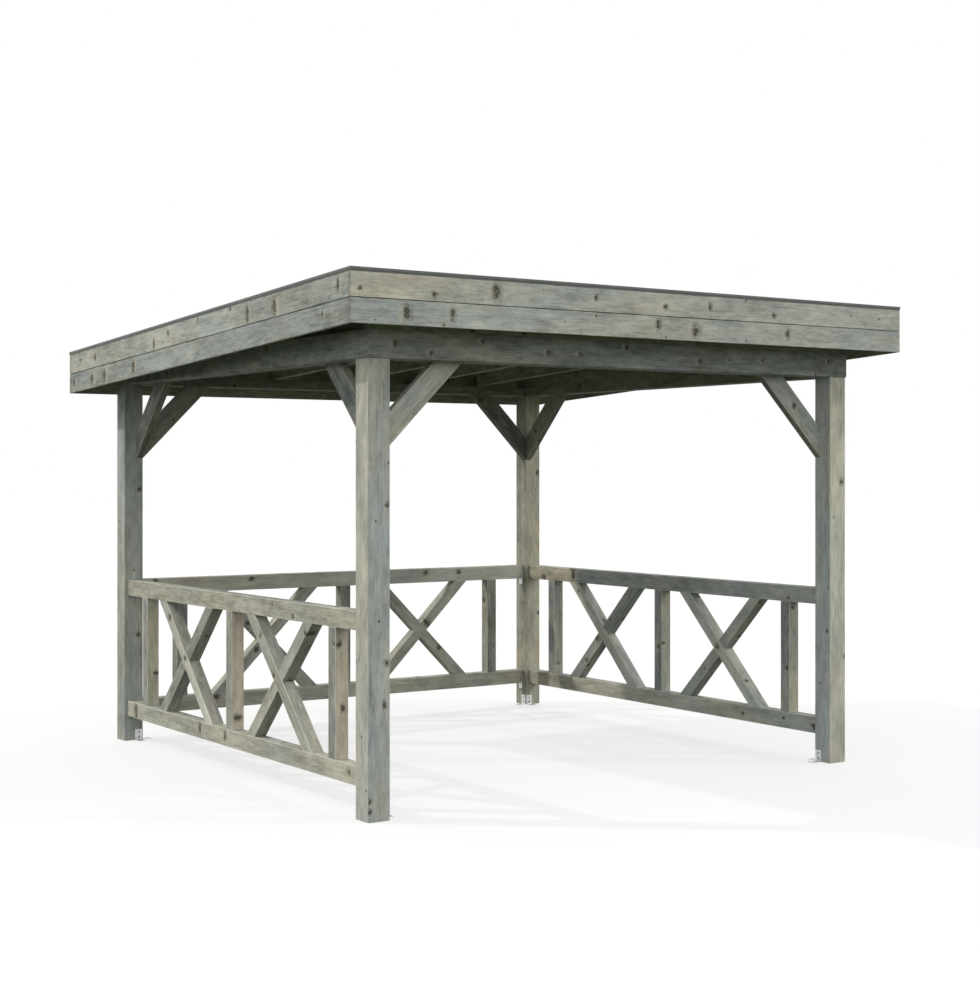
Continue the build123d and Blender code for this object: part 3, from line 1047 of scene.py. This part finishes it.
@dataclass
class BeamRing:
    """The beams on the post tops, mitred in front and lapped behind."""

    finish: Material
    ease: float = 0.0015
    wear_and_highlight: float = 0.0

    def looks(self) -> dict[str, Look]:
        """The knots and tones of each beam. The tones paint shade: the outer faces under the fascia and every underside
        are darker.
        """
        front = knots_at(pin=[(2.25, 0.0), (2.9, -0.8)], small=[(0.35, -0.5), (0.65, 0.5), (2.5, 0.1), (3.0, 0.3)],
                         medium=[(0.15, 0.0), (1.05, -0.1), (1.25, -0.1), (1.55, 0.6), (2.05, -0.2)])
        # Painted shade: darker towards one end along the front and left faces, under the fascia.
        face = [ToneAndLight(-0.1, 0.18), ToneAndLight(-0.17, 0.18, 0.15), ToneAndLight(-0.17, 0.25, 0.5), ToneAndLight(-0.28, 0.2, 0.8),
                ToneAndLight(-0.28, 0.2, 1.0)]
        flank = [ToneAndLight(-0.22, 0.05), ToneAndLight(-0.12, 0.12, 0.35), ToneAndLight(-0.3, 0.2, 0.6), ToneAndLight(-0.4, 0.2, 1.0)]
        return {"front_beam": Look({Side.FRONT: front}, {Side.FRONT: face, **tones_and_light(under=(-0.4, 0.3))}),
                "back_beam": Look(tones_and_light=tones_and_light(front=(-0.2, 0.3), under=(-0.4, 0.3))),
                "left_beam": Look(tones_and_light={Side.LEFT: flank, **tones_and_light(under=(-0.4, 0.3))}),
                "right_beam": Look(tones_and_light=tones_and_light(left=(-0.1, 0.4), under=(-0.4, 0.3)))}

    def build(self) -> None:
        """Make the beams."""
        for node, look in self.looks().items():
            look.ease, look.wear_and_highlight = self.ease, self.wear_and_highlight
            Timber(node, look).make(self.finish)


@dataclass
class Braces:
    """Two knee braces at the head of each post."""

    finish: Material
    ease: float = 0.0025
    spacing: float = 0.3

    def shown(self) -> dict[str, TonesAndLight]:
        """The tones of the braces that differ from the rest. They paint light and shade: undersides mostly darker, the
        left face of the front left side brace darkened as in shade, and the front left cross brace lighter underneath
        and darker on top.
        """
        return {
            "front_left_cross": {Side.FRONT: [ToneAndLight(-0.04, 0.4), ToneAndLight(0.26, 0.4, 0.35), ToneAndLight(0.26, 0.4, 1.0)],
                                 **tones_and_light(under=(0.1, 0.6), top=(-0.12, 0.5))},
            # Painted shade on a face that the key lamp lights.
            "front_left_side": {Side.LEFT: [ToneAndLight(-0.34, 0.0), ToneAndLight(-0.48, 0.0, 0.5), ToneAndLight(-0.48, 0.0, 1.0)],
                                **tones_and_light(under=(-0.3, 0.2))},
            "front_right_cross": {Side.FRONT: [ToneAndLight(-0.04, 0.25), ToneAndLight(0.15, 0.2, 1.0)], **tones_and_light(under=(-0.3, 0.4))},
            "back_left_side": tones_and_light(left=(-0.36, 0.15), under=(-0.3, 0.3)),
            "back_left_cross": tones_and_light(front=(0.05, 0.3), under=(-0.3, 0.3)),
            "back_right_cross": tones_and_light(front=(-0.35, 0.5), under=(-0.4, 0.5)),
            "back_right_side": {Side.LEFT: [ToneAndLight(-0.16, 0.6), ToneAndLight(-0.1, 0.6, 0.5), ToneAndLight(0.15, 0.6, 1.0)],
                                **tones_and_light(under=(-0.3, 0.5))},
        }

    def build(self) -> None:
        """Make the braces."""
        shown = self.shown()
        marks = {"front_right_cross": {Side.FRONT: knots_at(medium=[(0.35, 0.0)])},
                 "front_left_cross": {Side.FRONT: []}}
        for end in ("front", "back"):
            for side in ("left", "right"):
                for kind in ("cross", "side"):
                    name = f"{end}_{side}_{kind}"
                    look = Look(marks.get(name, {}), shown.get(name, {}), ease=self.ease, spacing=self.spacing)
                    Timber(f"{name}_brace", look).make(self.finish)


@dataclass
class Railing:
    """One railing: two rails, three balusters and two crossed pairs of diagonals."""

    side: str
    finish: Material
    tone: ToneAndLight = ToneAndLight()
    shown: dict[str, TonesAndLight] = field(default_factory=dict)
    ease: float = 0.003
    spacing: float = 0.3

    def build(self) -> None:
        """Make the railing's five pieces."""
        for part in ("top_rail", "bottom_rail", "balusters", "rising_diagonals", "falling_diagonals"):
            look = Look({}, self.shown.get(part, {}), self.tone, self.ease, spacing=self.spacing)
            Timber(f"{self.side}_{part}", look).make(self.finish)


@dataclass
class RoofFrame:
    """The timbers under the roof: raising timber, firrings and rafters."""

    finish: Material
    ease: float = 0.002

    def build(self) -> None:
        """Make the hidden frame of the roof."""
        for node in ("raising_timber", "side_firrings", "rafters", "edge_rafters"):
            Timber(node, Look(tone=ToneAndLight(-0.1, 0.5), ease=self.ease, wear_and_highlight=0.0)).make(self.finish)


@dataclass
class Slope:
    """A slab of the roof as it lies on the slope: its reach across, down the slope and through."""

    node: str
    pitch: float = 3.0
    low: Vector = field(default_factory=Vector)
    high: Vector = field(default_factory=Vector)

    def measure(self) -> None:
        """Find the slab's reach in a frame that leans with the roof."""
        lean = Euler((math.radians(self.pitch), 0, 0)).to_matrix()
        corners = [lean @ vert.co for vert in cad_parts[self.node].data.vertices]
        self.low = Vector([min(corner[axis] for corner in corners) for axis in range(3)])
        self.high = Vector([max(corner[axis] for corner in corners) for axis in range(3)])

    def turn(self) -> Triple:
        """The rotation that lays a level thing on the slope."""
        return (-math.radians(self.pitch), 0.0, 0.0)


@dataclass
class RoofBoards:
    """Matched roof boards that run across the rafters, their edges eased into V joints."""

    finish: Material
    cover: float = 0.096
    joint: float = 0.0006
    ease: float = 0.003

    def build(self) -> None:
        """Lay the boards and dress them."""
        slope = Slope("roof_deck")
        slope.measure()
        size = slope.high - slope.low
        count = round(size.y / self.cover)
        pattern = Pattern("roof_boards", {"Length": size.x, "Cover": size.y / count, "Joint": self.joint,
                                          "Thickness": size.z, "Count": count})
        inlet = pattern.inlet
        width = pattern.minus(inlet["Cover"], inlet["Joint"])
        board = pattern.add("GeometryNodeMeshCube", {"Size": pattern.join(inlet["Length"], width, inlet["Thickness"])})
        start = (0.0, slope.low.y + size.y / count / 2, (slope.low.z + slope.high.z) / 2)
        line = pattern.add("GeometryNodeMeshLine", {"Count": inlet["Count"], "Start Location": start,
                                                    "Offset": pattern.join(0.0, inlet["Cover"], 0.0)})
        laid = pattern.add("GeometryNodeInstanceOnPoints", {"Points": line.outputs[0], "Instance": board.outputs[0]})
        done = pattern.shift(laid.outputs[0], turn=slope.turn())
        carrier = pattern.bake("roof_boards", done, self.finish)
        Timber("roof_deck", Look(tone=ToneAndLight(-0.1, 0.6), ease=self.ease, wear_and_highlight=-0.5)).make(self.finish, carrier.data)
        bpy.data.objects.remove(carrier)


@dataclass
class RoofFelt:
    """Roofing felt in strips across the roof, each lapped over the next one down the slope."""

    strip: float = 1.0
    lap: float = 0.08
    thickness: float = 0.0018

    def sheet(self, pattern: Pattern, step: float) -> Socket:
        """One strip with its front edge on the X axis.

        Args:
            pattern: The tree.
            step: How far its back edge climbs over the strip below.

        Returns:
            The strip, with its slight ripples.
        """
        inlet = pattern.inlet
        grid = pattern.add("GeometryNodeMeshGrid", {"Size X": inlet["Length"], "Size Y": inlet["Strip"],
                                                    "Vertices X": 44, "Vertices Y": 26})
        here = pattern.add("GeometryNodeInputPosition").outputs[0]
        x, y, _ = pattern.split(here)
        edge = pattern.over(inlet["Strip"], 2.0)
        near = pattern.minus(pattern.minus(edge, y), inlet["Lap"])
        climb = pattern.span(near, 0.0, 0.03, step, 0.0, "SMOOTHSTEP")
        wave = pattern.times(pattern.noise(here, (1.7, 5.0, 1.0), 1.0), 0.0003)
        level = pattern.plus(climb, wave)
        moved = pattern.place(grid.outputs[0], pattern.join(x, pattern.plus(y, edge), level))
        return pattern.thicken(moved, inlet["Thickness"])

    def build(self) -> None:
        """Lay the strips."""
        slope = Slope("roof_membrane")
        slope.measure()
        size = slope.high - slope.low
        count = math.ceil((size.y - self.lap) / (self.strip - self.lap))
        strip = (size.y - self.lap) / count + self.lap
        pattern = Pattern("roof_felt", {"Length": size.x - 0.001, "Strip": strip, "Lap": self.lap,
                                        "Thickness": self.thickness, "Count": count - 1})
        inlet = pattern.inlet
        pitch = pattern.minus(inlet["Strip"], inlet["Lap"])
        line = pattern.add("GeometryNodeMeshLine", {"Count": inlet["Count"], "Offset": pattern.join(0.0, pitch, 0.0)})
        lapped = self.sheet(pattern, self.thickness + 0.0001)
        laid = pattern.add("GeometryNodeInstanceOnPoints", {"Points": line.outputs[0], "Instance": lapped})
        topmost = self.sheet(pattern, 0.0)
        last = pattern.shift(topmost, pattern.join(0.0, pattern.times(pitch, inlet["Count"]), 0.0))
        whole = pattern.shift(pattern.gather(laid.outputs[0], last), (0.0, slope.low.y, slope.low.z))
        done = pattern.shift(whole, turn=slope.turn())
        finish = SheetFinish(pitch=slope.pitch, first=slope.low.y + self.lap, strip=strip - self.lap)
        seat(pattern.bake("roof_felt", done, finish.make()), "felt", "roof_membrane")


@dataclass
class Fascia:
    """Two boards on edge along each side of the roof, and the grey trim folded over them."""

    finish: Material
    ease: float = 0.0018
    wear_and_highlight: float = -0.6

    def looks(self) -> dict[str, Look]:
        """The knots and tones of each pair of boards; the tones partly paint light and shade."""
        upper = knots_at(pin=[(2.4, 0.9), (3.4, 0.0)], small=[(0.05, -0.3), (1.4, 0.2, 1.8), (2.15, 0.1, 2.2)],
                         medium=[(0.45, -0.4), (1.85, -0.2), (2.6, -0.3)], large=[(0.8, 0.1, 2.2)])
        lower = knots_at(pin=[(0.5, -0.8), (1.4, 0.7), (1.85, -0.8), (2.4, -0.7)], medium=[(0.55, 0.1, 2.2),
                         (1.8, 0.3, 2.2), (2.7, 0.1, 2.0)], large=[(0.3, 0.0, 1.8), (2.05, -0.1, 1.8)])
        upper_left = knots_at(pin=[(0.4, -0.3), (2.75, 0.8)], small=[(0.1, 0.2, 3.0), (1.25, 0.8), (1.65, 0.7),
                              (3.4, 0.2)], medium=[(1.05, -0.1, 3.0), (2.05, 0.3), (2.25, -0.3, 1.8),
                              (3.15, 0.0, 1.6)], large=[(0.75, -0.2, 2.2)])
        lower_left = knots_at(pin=[(1.2, -0.9)], small=[(0.25, 0.2, 1.6)], medium=[(3.5, 0.0, 1.6)],
                              large=[(2.55, 0.1, 1.8), (3.0, 0.0, 1.6), (3.2, 0.0, 1.6)])
        front = by_stick(Side.FRONT, [ToneAndLight(0.17, 0.17), ToneAndLight(0.17, 0.2, 0.1), ToneAndLight(0.29, 0.25, 0.23),
                                      ToneAndLight(0.13, 0.25, 0.42), ToneAndLight(0.2, 0.22, 0.75), ToneAndLight(0.2, 0.2, 1.0)],
                         [ToneAndLight(0.24, 0.72), ToneAndLight(0.24, 0.6, 0.1), ToneAndLight(0.19, 0.3, 0.23), ToneAndLight(0.2, 0.36, 0.45),
                          ToneAndLight(0.22, 0.28, 1.0)])
        left = by_stick(Side.LEFT, [ToneAndLight(-0.08, -0.1), ToneAndLight(-0.08, -0.1, 0.12), ToneAndLight(0.04, 0.05, 0.45),
                                    ToneAndLight(-0.08, 0.08, 0.85)],
                        [ToneAndLight(-0.06, 0.22), ToneAndLight(-0.06, 0.22, 0.12), ToneAndLight(0.15, 0.25, 0.45),
                         ToneAndLight(0.15, 0.25, 0.6), ToneAndLight(-0.01, 0.33, 0.85)])
        return {"front_fascia": Look(by_stick(Side.FRONT, lower, upper), front),
                "left_fascia": Look(by_stick(Side.LEFT, lower_left, upper_left), left),
                "back_fascia": Look(), "right_fascia": Look()}

    def build(self) -> None:
        """Make the boards and coat the trim."""
        for node, look in self.looks().items():
            look.ease, look.wear_and_highlight = self.ease, self.wear_and_highlight
            Timber(node, look).make(self.finish)
        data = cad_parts["edge_trim"].data
        data.materials.clear()
        data.materials.append(CoatedFinish().make())


@dataclass
class Angles:
    """Perforated angles of bent zinc coated sheet, standing at seats that each have a place and a turn.

    Holes lie at distances from the fold and hole is their radius. The small holes between them lie on a mesh, and
    rim is what is left round a hole at least.
    """

    node: str
    leg: float
    width: float
    sheet: float
    holes: tuple[float, float]
    hole: float
    seats: list[Seat]
    bend: float = 0.004
    small: float = 0.0025
    mesh: float = 0.0088
    rim: float = 0.0015

    def plate(self, pattern: Pattern) -> Socket:
        """The flat of one leg with its holes, lying along X from the bend.

        Args:
            pattern: The tree.

        Returns:
            The sheet of faces.
        """
        inlet = pattern.inlet
        run = pattern.minus(inlet["Leg"], inlet["Bend"])
        middle = pattern.plus(inlet["Bend"], pattern.over(run, 2.0))
        outline = pattern.add("GeometryNodeCurvePrimitiveQuadrilateral", {"Width": run, "Height": inlet["Width"]})
        moved = pattern.shift(outline.outputs[0], pattern.join(middle, 0.0, 0.0))
        columns = int((self.leg - self.bend - 2 * self.rim) / self.mesh)
        rows = int((self.width - 2 * self.rim) / self.mesh)
        grid = pattern.add("GeometryNodeMeshGrid", {
            "Size X": (columns - 1) * self.mesh, "Size Y": (rows - 1) * self.mesh,
            "Vertices X": columns, "Vertices Y": rows})
        net = pattern.shift(grid.outputs[0], pattern.join(middle, 0.0, 0.0))
        here = pattern.add("GeometryNodeInputPosition").outputs[0]
        parts = [moved]
        keep: Socket | float = 1.0
        for label in ("First Hole", "Second Hole"):
            centre = pattern.join(inlet[label], 0.0, 0.0)
            apart = pattern.vector("DISTANCE", here, centre)
            clear = pattern.math("GREATER_THAN", apart, self.hole + self.small + self.rim)
            keep = pattern.times(keep, clear)
            ring = pattern.add("GeometryNodeCurvePrimitiveCircle", {"Resolution": 16, "Radius": inlet["Hole"]})
            parts.append(pattern.shift(ring.outputs[0], centre))
        dot = pattern.add("GeometryNodeCurvePrimitiveCircle", {"Resolution": 8, "Radius": inlet["Small Hole"]})
        inputs = {"Points": net, "Selection": keep, "Instance": dot.outputs[0]}
        dots = pattern.add("GeometryNodeInstanceOnPoints", inputs).outputs[0]
        parts.append(pattern.add("GeometryNodeRealizeInstances", {0: dots}).outputs[0])
        return pattern.add("GeometryNodeFillCurve", {0: pattern.gather(*parts)}, mode="NGONS").outputs[0]

    def fold(self, pattern: Pattern) -> Socket:
        """The rounded strip between the two legs.

        Args:
            pattern: The tree.

        Returns:
            The sheet of faces, facing the inside of the angle.
        """
        inlet = pattern.inlet
        strip = pattern.add("GeometryNodeMeshGrid", {"Size X": 1.0, "Size Y": inlet["Width"], "Vertices X": 6,
                                                     "Vertices Y": 2})
        x, y, _ = pattern.split(pattern.add("GeometryNodeInputPosition").outputs[0])
        angle = pattern.math("MULTIPLY_ADD", x, -math.pi / 2, math.radians(225))
        round_x = pattern.math("MULTIPLY_ADD", pattern.math("COSINE", angle), inlet["Bend"], inlet["Bend"])
        round_z = pattern.math("MULTIPLY_ADD", pattern.math("SINE", angle), inlet["Bend"], inlet["Bend"])
        return pattern.flip(pattern.place(strip.outputs[0], pattern.join(round_x, y, round_z)))

    def build(self) -> None:
        """Make the angles and seat them."""
        sizes = {"Leg": self.leg, "Width": self.width, "Sheet": self.sheet, "Bend": self.bend,
                 "First Hole": self.holes[0], "Second Hole": self.holes[1], "Hole": self.hole, "Small Hole": self.small}
        pattern = Pattern(self.node, sizes)
        flat = self.plate(pattern)
        upright = pattern.flip(pattern.shift(flat, turn=(0.0, -math.pi / 2, 0.0)))
        bent = pattern.weld(pattern.gather(flat, upright, self.fold(pattern)), 5 * WELD)
        angle = pattern.thicken(bent, pattern.inlet["Sheet"])
        done = on_seats(pattern, angle)
        piece = pattern.bake(f"{self.node}_zinc", done, ZincFinish().make(), seat_mesh(self.node, self.seats))
        seat(piece, "galvanised", self.node)


def seat_mesh(name: str, seats: list[Seat]) -> bpy.types.Mesh:
    """Points that carry a turn each.

    Args:
        name: The mesh's name.
        seats: Places and turns.

    Returns:
        The mesh of points.
    """
    mesh = bpy.data.meshes.new(f"{name}_seats")
    mesh.from_pydata([place for place, _ in seats], [], [])
    attribute = mesh.attributes.new("turn", "FLOAT_VECTOR", "POINT")
    attribute.data.foreach_set("vector", [part for _, turn in seats for part in turn])
    return mesh


def on_seats(pattern: Pattern, part: object) -> Socket:
    """A geometry repeated on the seats that the tree starts from."""
    turn = pattern.add("GeometryNodeInputNamedAttribute", {"Name": "turn"}, data_type="FLOAT_VECTOR").outputs[0]
    inputs = {"Points": pattern.inlet["Geometry"], "Instance": part, "Rotation": turn}
    return pattern.add("GeometryNodeInstanceOnPoints", inputs).outputs[0]


@dataclass
class Screws:
    """Screw heads with a lobed recess, in one size. Their edge reaches down into the timber by depth."""

    name: str
    finish: ZincFinish
    seats: list[Seat]
    radius: float = 0.006
    rise: float = 0.0022
    recess: float = 0.3
    depth: float = 0.0012
    lobes: int = 6
    slot: str = "galvanised"

    def build(self) -> None:
        """Make the heads and seat them."""
        sizes = {"Radius": self.radius, "Rise": self.rise, "Recess": self.recess, "Set": self.depth}
        pattern = Pattern(self.name, sizes)
        inlet = pattern.inlet
        grid = pattern.add("GeometryNodeMeshGrid", {"Size X": 1.0, "Size Y": 1.0, "Vertices X": 11, "Vertices Y": 19})
        x, y, _ = pattern.split(pattern.add("GeometryNodeInputPosition").outputs[0])
        out = pattern.plus(x, 0.5)
        angle = pattern.times(y, -2 * math.pi)
        reach = pattern.math("MINIMUM", pattern.over(out, 0.8), pattern.over(pattern.minus(1.0, out), 0.2))
        top = pattern.math("LESS_THAN", out, 0.85)
        dome = pattern.times(inlet["Rise"], pattern.minus(1.0, pattern.math("POWER", reach, 2.6)))
        wavy = pattern.math("COSINE", pattern.times(angle, self.lobes))
        lobes = pattern.math("MULTIPLY_ADD", wavy, 0.09, inlet["Recess"])
        sunk = pattern.times(pattern.math("LESS_THAN", reach, lobes), pattern.times(inlet["Rise"], 0.8))
        face = pattern.times(top, pattern.minus(dome, sunk))
        under = pattern.times(pattern.minus(1.0, top), inlet["Set"])
        far = pattern.times(reach, inlet["Radius"])
        ring = pattern.join(pattern.times(far, pattern.math("COSINE", angle)),
                            pattern.times(far, pattern.math("SINE", angle)), pattern.minus(face, under))
        head = pattern.weld(pattern.flip(pattern.place(grid.outputs[0], ring)))
        done = on_seats(pattern, head)
        piece = pattern.bake(self.name, done, self.finish.make(), seat_mesh(self.name, self.seats))
        seat(piece, self.slot)


@dataclass
class Fixings:
    """The angles at the feet and under the back rails, and the screws that show.

    Half is how far the inner faces of the posts are from the centre, and middle how far the foot angles' own centre
    lines are. The rail angles lie on rail_line, at the undersides of the two rails that levels names.
    """

    half: float = 1.448
    middle: float = 1.4755
    rail_line: float = 1.5105
    levels: tuple[float, float] = (0.152, 0.897)
    foot_holes: tuple[float, float] = (0.02, 0.05)
    rail_holes: tuple[float, float] = (0.012, 0.03)
    foot_sheet: float = 0.0025
    rail_sheet: float = 0.002
    brace_shares: tuple[float, float] = (0.16, 0.84)

    def foot_seats(self) -> list[Seat]:
        """Where the folds of the foot angles lie, on the two inner faces of each post."""
        seats = []
        for x in (-1, 1):
            for y in (-1, 1):
                seats.append(((x * self.half, y * self.middle, 0.0), (0.0, 0.0, 0.0 if x < 0 else math.pi)))
                seats.append(((x * self.middle, y * self.half, 0.0), (0.0, 0.0, -y * math.pi / 2)))
        return seats

    def rail_seats(self) -> list[Seat]:
        """Where the folds of the rail angles lie, upside down under the ends of the back rails."""
        return [((x * self.half, self.rail_line, level), (math.pi, 0.0, 0.0 if x < 0 else math.pi))
                for x in (-1, 1) for level in self.levels]

    def screw_seats(self, seats: list[Seat], holes: tuple[float, float], sheet: float,
                    flat: bool) -> list[Seat]:
        """Put a screw in each hole of some angles.

        Args:
            seats: The angles' own seats.
            holes: Distances of the holes from the fold.
            sheet: Thickness of the sheet.
            flat: Whether the flat leg has screws too.

        Returns:
            Places and turns of the heads.
        """
        found = []
        for place, turn in seats:
            way = Euler(turn)
            for hole in holes:
                spot = Vector((sheet, 0.0, hole))
                spot.rotate(way)
                head = way.to_matrix() @ Euler((0.0, math.pi / 2, 0.0)).to_matrix()
                found.append((tuple(Vector(place) + spot), tuple(head.to_euler())))
                if flat:
                    spot = Vector((hole, 0.0, sheet))
                    spot.rotate(way)
                    found.append((tuple(Vector(place) + spot), turn))
        return found

    def brace_seats(self) -> list[Seat]:
        """One screw near each end of each brace, on its lower face."""
        found = []
        for end in ("front", "back"):
            for side in ("left", "right"):
                for kind in ("cross", "side"):
                    low, high = (Vector(corner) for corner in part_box(f"{end}_{side}_{kind}_brace"))
                    middle = (low + high) / 2
                    run = 0 if kind == "cross" else 1
                    outward = 1.0 if middle[run] > 0 else -1.0
                    axis = Vector((0, 0, 0))
                    axis[run] = outward
                    normal = (Vector((0, 0, -1)) - axis).normalized()
                    for share in self.brace_shares:
                        depth = high[run] - low[run]
                        spot = middle.copy()
                        spot[run] = middle[run] + outward * depth * (0.5 - share)
                        spot.z = low.z + (high.z - low.z) * share
                        found.append((spot, normal))
        return [(tuple(spot), tuple(normal.to_track_quat("Z", "Y").to_euler())) for spot, normal in found]

    def build(self) -> None:
        """Make the angles and all screws."""
        foot, rail = self.foot_seats(), self.rail_seats()
        Angles("foot_brackets", leg=0.065, width=0.045, sheet=self.foot_sheet, holes=self.foot_holes, hole=0.0045,
               seats=foot).build()
        Angles("rail_brackets", leg=0.04, width=0.036, sheet=self.rail_sheet, holes=self.rail_holes, hole=0.0025,
               seats=rail, bend=0.003, small=0.0018, mesh=0.0072).build()
        plated = ZincFinish("plated_screws", bright=(170, 170, 166), dull=(128, 127, 122), rough=0.4, metal=0.7)
        dull = ZincFinish("dull_screws", bright=(96, 93, 86), dull=(62, 60, 55), rough=0.6, metal=0.4)
        at_feet = self.screw_seats(foot, self.foot_holes, self.foot_sheet, False)
        at_rails = self.screw_seats(rail, self.rail_holes, self.rail_sheet, True)
        Screws("foot_screws", plated, at_feet, radius=0.0068, rise=0.0035).build()
        Screws("rail_screws", plated, at_rails, radius=0.0042, rise=0.0018).build()
        Screws("brace_screws", dull, self.brace_seats(), radius=0.006, rise=0.0008).build()


@dataclass
class Studio:
    """Camera, lamps, sky and floor. Lengths are in metres and angles in degrees."""

    eye: Triple = (-5.641, -8.694, 1.660)
    turn: float = -33.77
    lens: float = 63.71
    rise: float = -0.0194
    key_way: Triple = (0.909, -0.735, -1.0)
    key_strength: float = 1.57
    key_size: float = 1.5
    fill_way: Triple = (-0.909, 0.65, -1.0)
    fill_strength: float = 0.6
    fill_size: float = 3.0
    sky_strength: float = 1.22
    lamp_colour: Triple = (1.0, 0.95, 0.84)
    sky_colour: Triple = (0.97, 1.0, 1.0)

    def camera(self) -> None:
        """Set up the camera."""
        data = bpy.data.cameras.new("camera")
        data.lens = self.lens
        data.shift_y = self.rise
        data.clip_end = 200.0
        camera = bpy.data.objects.new("camera", data)
        camera.location = self.eye
        camera.rotation_euler = (math.pi / 2, 0.0, math.radians(self.turn))
        bpy.context.scene.collection.objects.link(camera)
        bpy.context.scene.camera = camera

    def lamp(self, name: str, way: Triple, strength: float, size: float) -> None:
        """Add one distant lamp.

        Args:
            name: Its name.
            way: Where its light goes.
            strength: Its strength.
            size: How wide it looks, in degrees.
        """
        data = bpy.data.lights.new(name, "SUN")
        data.energy = strength
        data.angle = math.radians(size)
        data.color = self.lamp_colour
        lamp = bpy.data.objects.new(name, data)
        lamp.rotation_euler = Vector(way).to_track_quat("-Z", "Y").to_euler()
        bpy.context.scene.collection.objects.link(lamp)

    def light(self) -> None:
        """Set up the lamps and the sky."""
        self.lamp("key", self.key_way, self.key_strength, self.key_size)
        self.lamp("fill", self.fill_way, self.fill_strength, self.fill_size)
        world = bpy.data.worlds.new("studio")
        world.use_nodes = True
        bpy.context.scene.world = world
        graph = Graph(world.node_tree)
        soft = graph.add("ShaderNodeBackground", {"Color": (*self.sky_colour, 1.0), "Strength": self.sky_strength})
        white = graph.add("ShaderNodeBackground", {"Color": (1.0, 1.0, 1.0, 1.0), "Strength": 1.0})
        inputs = {0: seen_by_camera(graph), 1: soft.outputs[0], 2: white.outputs[0]}
        graph.add("ShaderNodeOutputWorld", {"Surface": graph.add("ShaderNodeMixShader", inputs).outputs[0]})
        bpy.context.scene.view_settings.view_transform = "Standard"

    def floor(self) -> None:
        """Lay the floor."""
        mesh = bpy.data.meshes.new("floor")
        reach, level = 60.0, -0.0006
        corners = [(x * reach, y * reach, level) for x, y in ((-1, -1), (1, -1), (1, 1), (-1, 1))]
        mesh.from_pydata(corners, [], [(0, 1, 2, 3)])
        mesh.materials.append(FloorFinish().make())
        floor = bpy.data.objects.new("floor", mesh)
        bpy.context.scene.collection.objects.link(floor)


def railings(timber: Material) -> list[Railing]:
    """The three railings with their tones. The tones paint light and shade: warm sunlight on the front faces of the
    left balusters, sunlit patches along the right railing and a highlight on a left diagonal.
    """
    # Painted warm sunlight on the front faces of the first two balusters, and a painted highlight at one end of the
    # second falling diagonal.
    near = {
        "top_rail": tones_and_light(left=(-0.07, 0.66)), "bottom_rail": tones_and_light(left=(0.06, 0.6)),
        "balusters": {**by_stick(Side.LEFT, [ToneAndLight(-0.24, 0.25)], [ToneAndLight(-0.1, 0.35)], [ToneAndLight(-0.08, 0.35)]),
                      **by_stick(Side.FRONT, [ToneAndLight(0.25, 1.35)], [ToneAndLight(0.38, 1.4)], [ToneAndLight(0.18, 1.0)])},
        "rising_diagonals": by_stick(Side.LEFT, [ToneAndLight(0.1, 0.4), ToneAndLight(-0.04, 0.4, 1.0)],
                                     [ToneAndLight(-0.22, 0.4), ToneAndLight(-0.3, 0.3, 1.0)]),
        "falling_diagonals": by_stick(Side.LEFT, [ToneAndLight(0.08, 0.45), ToneAndLight(-0.1, 0.45, 1.0)],
                                      [ToneAndLight(0.55, 0.45), ToneAndLight(0.02, 0.45, 1.0)]),
    }
    rear = {
        "top_rail": {Side.FRONT: [ToneAndLight(0.26, 0.5), ToneAndLight(0.55, 0.4, 1.0)]},
        "bottom_rail": tones_and_light(front=(0.2, 0.5)), "balusters": tones_and_light(front=(-0.2, 0.35), left=(-0.2, 0.35)),
        "rising_diagonals": tones_and_light(front=(0.12, 0.4)), "falling_diagonals": tones_and_light(front=(0.08, 0.4)),
    }
    # Painted sunlit patches along the inner faces of the rails and diagonals, warmer towards the back.
    far = {
        "top_rail": {Side.LEFT: [ToneAndLight(0.24, 0.15), ToneAndLight(0.04, 0.1, 0.6), ToneAndLight(0.04, 0.1, 0.79),
                                 ToneAndLight(-0.08, 1.1, 0.83)]},
        "bottom_rail": {Side.LEFT: [ToneAndLight(0.15, 0.15), ToneAndLight(0.42, 0.45, 0.5), ToneAndLight(0.1, 0.5, 0.75),
                                    ToneAndLight(0.02, 0.9, 0.9)]},
        "balusters": {(Side.FRONT, 2): [ToneAndLight(-0.06, 0.5)], **tones_and_light(left=(-0.08, 0.1), front=(0.06, 0.62))},
        "rising_diagonals": by_stick(Side.LEFT, [ToneAndLight(0.6, 0.3)], [ToneAndLight(0.36, 0.3)]),
        "falling_diagonals": by_stick(Side.LEFT, [ToneAndLight(0.1, 0.2), ToneAndLight(0.3, 0.2, 1.0)], [ToneAndLight(-0.1, 0.1)]),
    }
    return [Railing("left", timber, ToneAndLight(0.0, 0.45), near), Railing("back", timber, ToneAndLight(0.05, 0.5), rear),
            Railing("right", timber, ToneAndLight(0.0, 0.15), far)]


def main() -> None:
    """Build the pieces in order, then the studio."""
    logging.basicConfig(level=logging.INFO, format="%(name)s: %(message)s")
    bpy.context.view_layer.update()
    timber = TimberFinish().make()
    parts = [Posts(timber), BeamRing(timber), Braces(timber), *railings(timber), RoofFrame(timber),
             RoofBoards(timber), RoofFelt(), Fascia(timber), Fixings()]
    for part in parts:
        part.build()
    studio = Studio()
    studio.floor()
    studio.light()
    studio.camera()


if __name__ == "__main__":
    main()
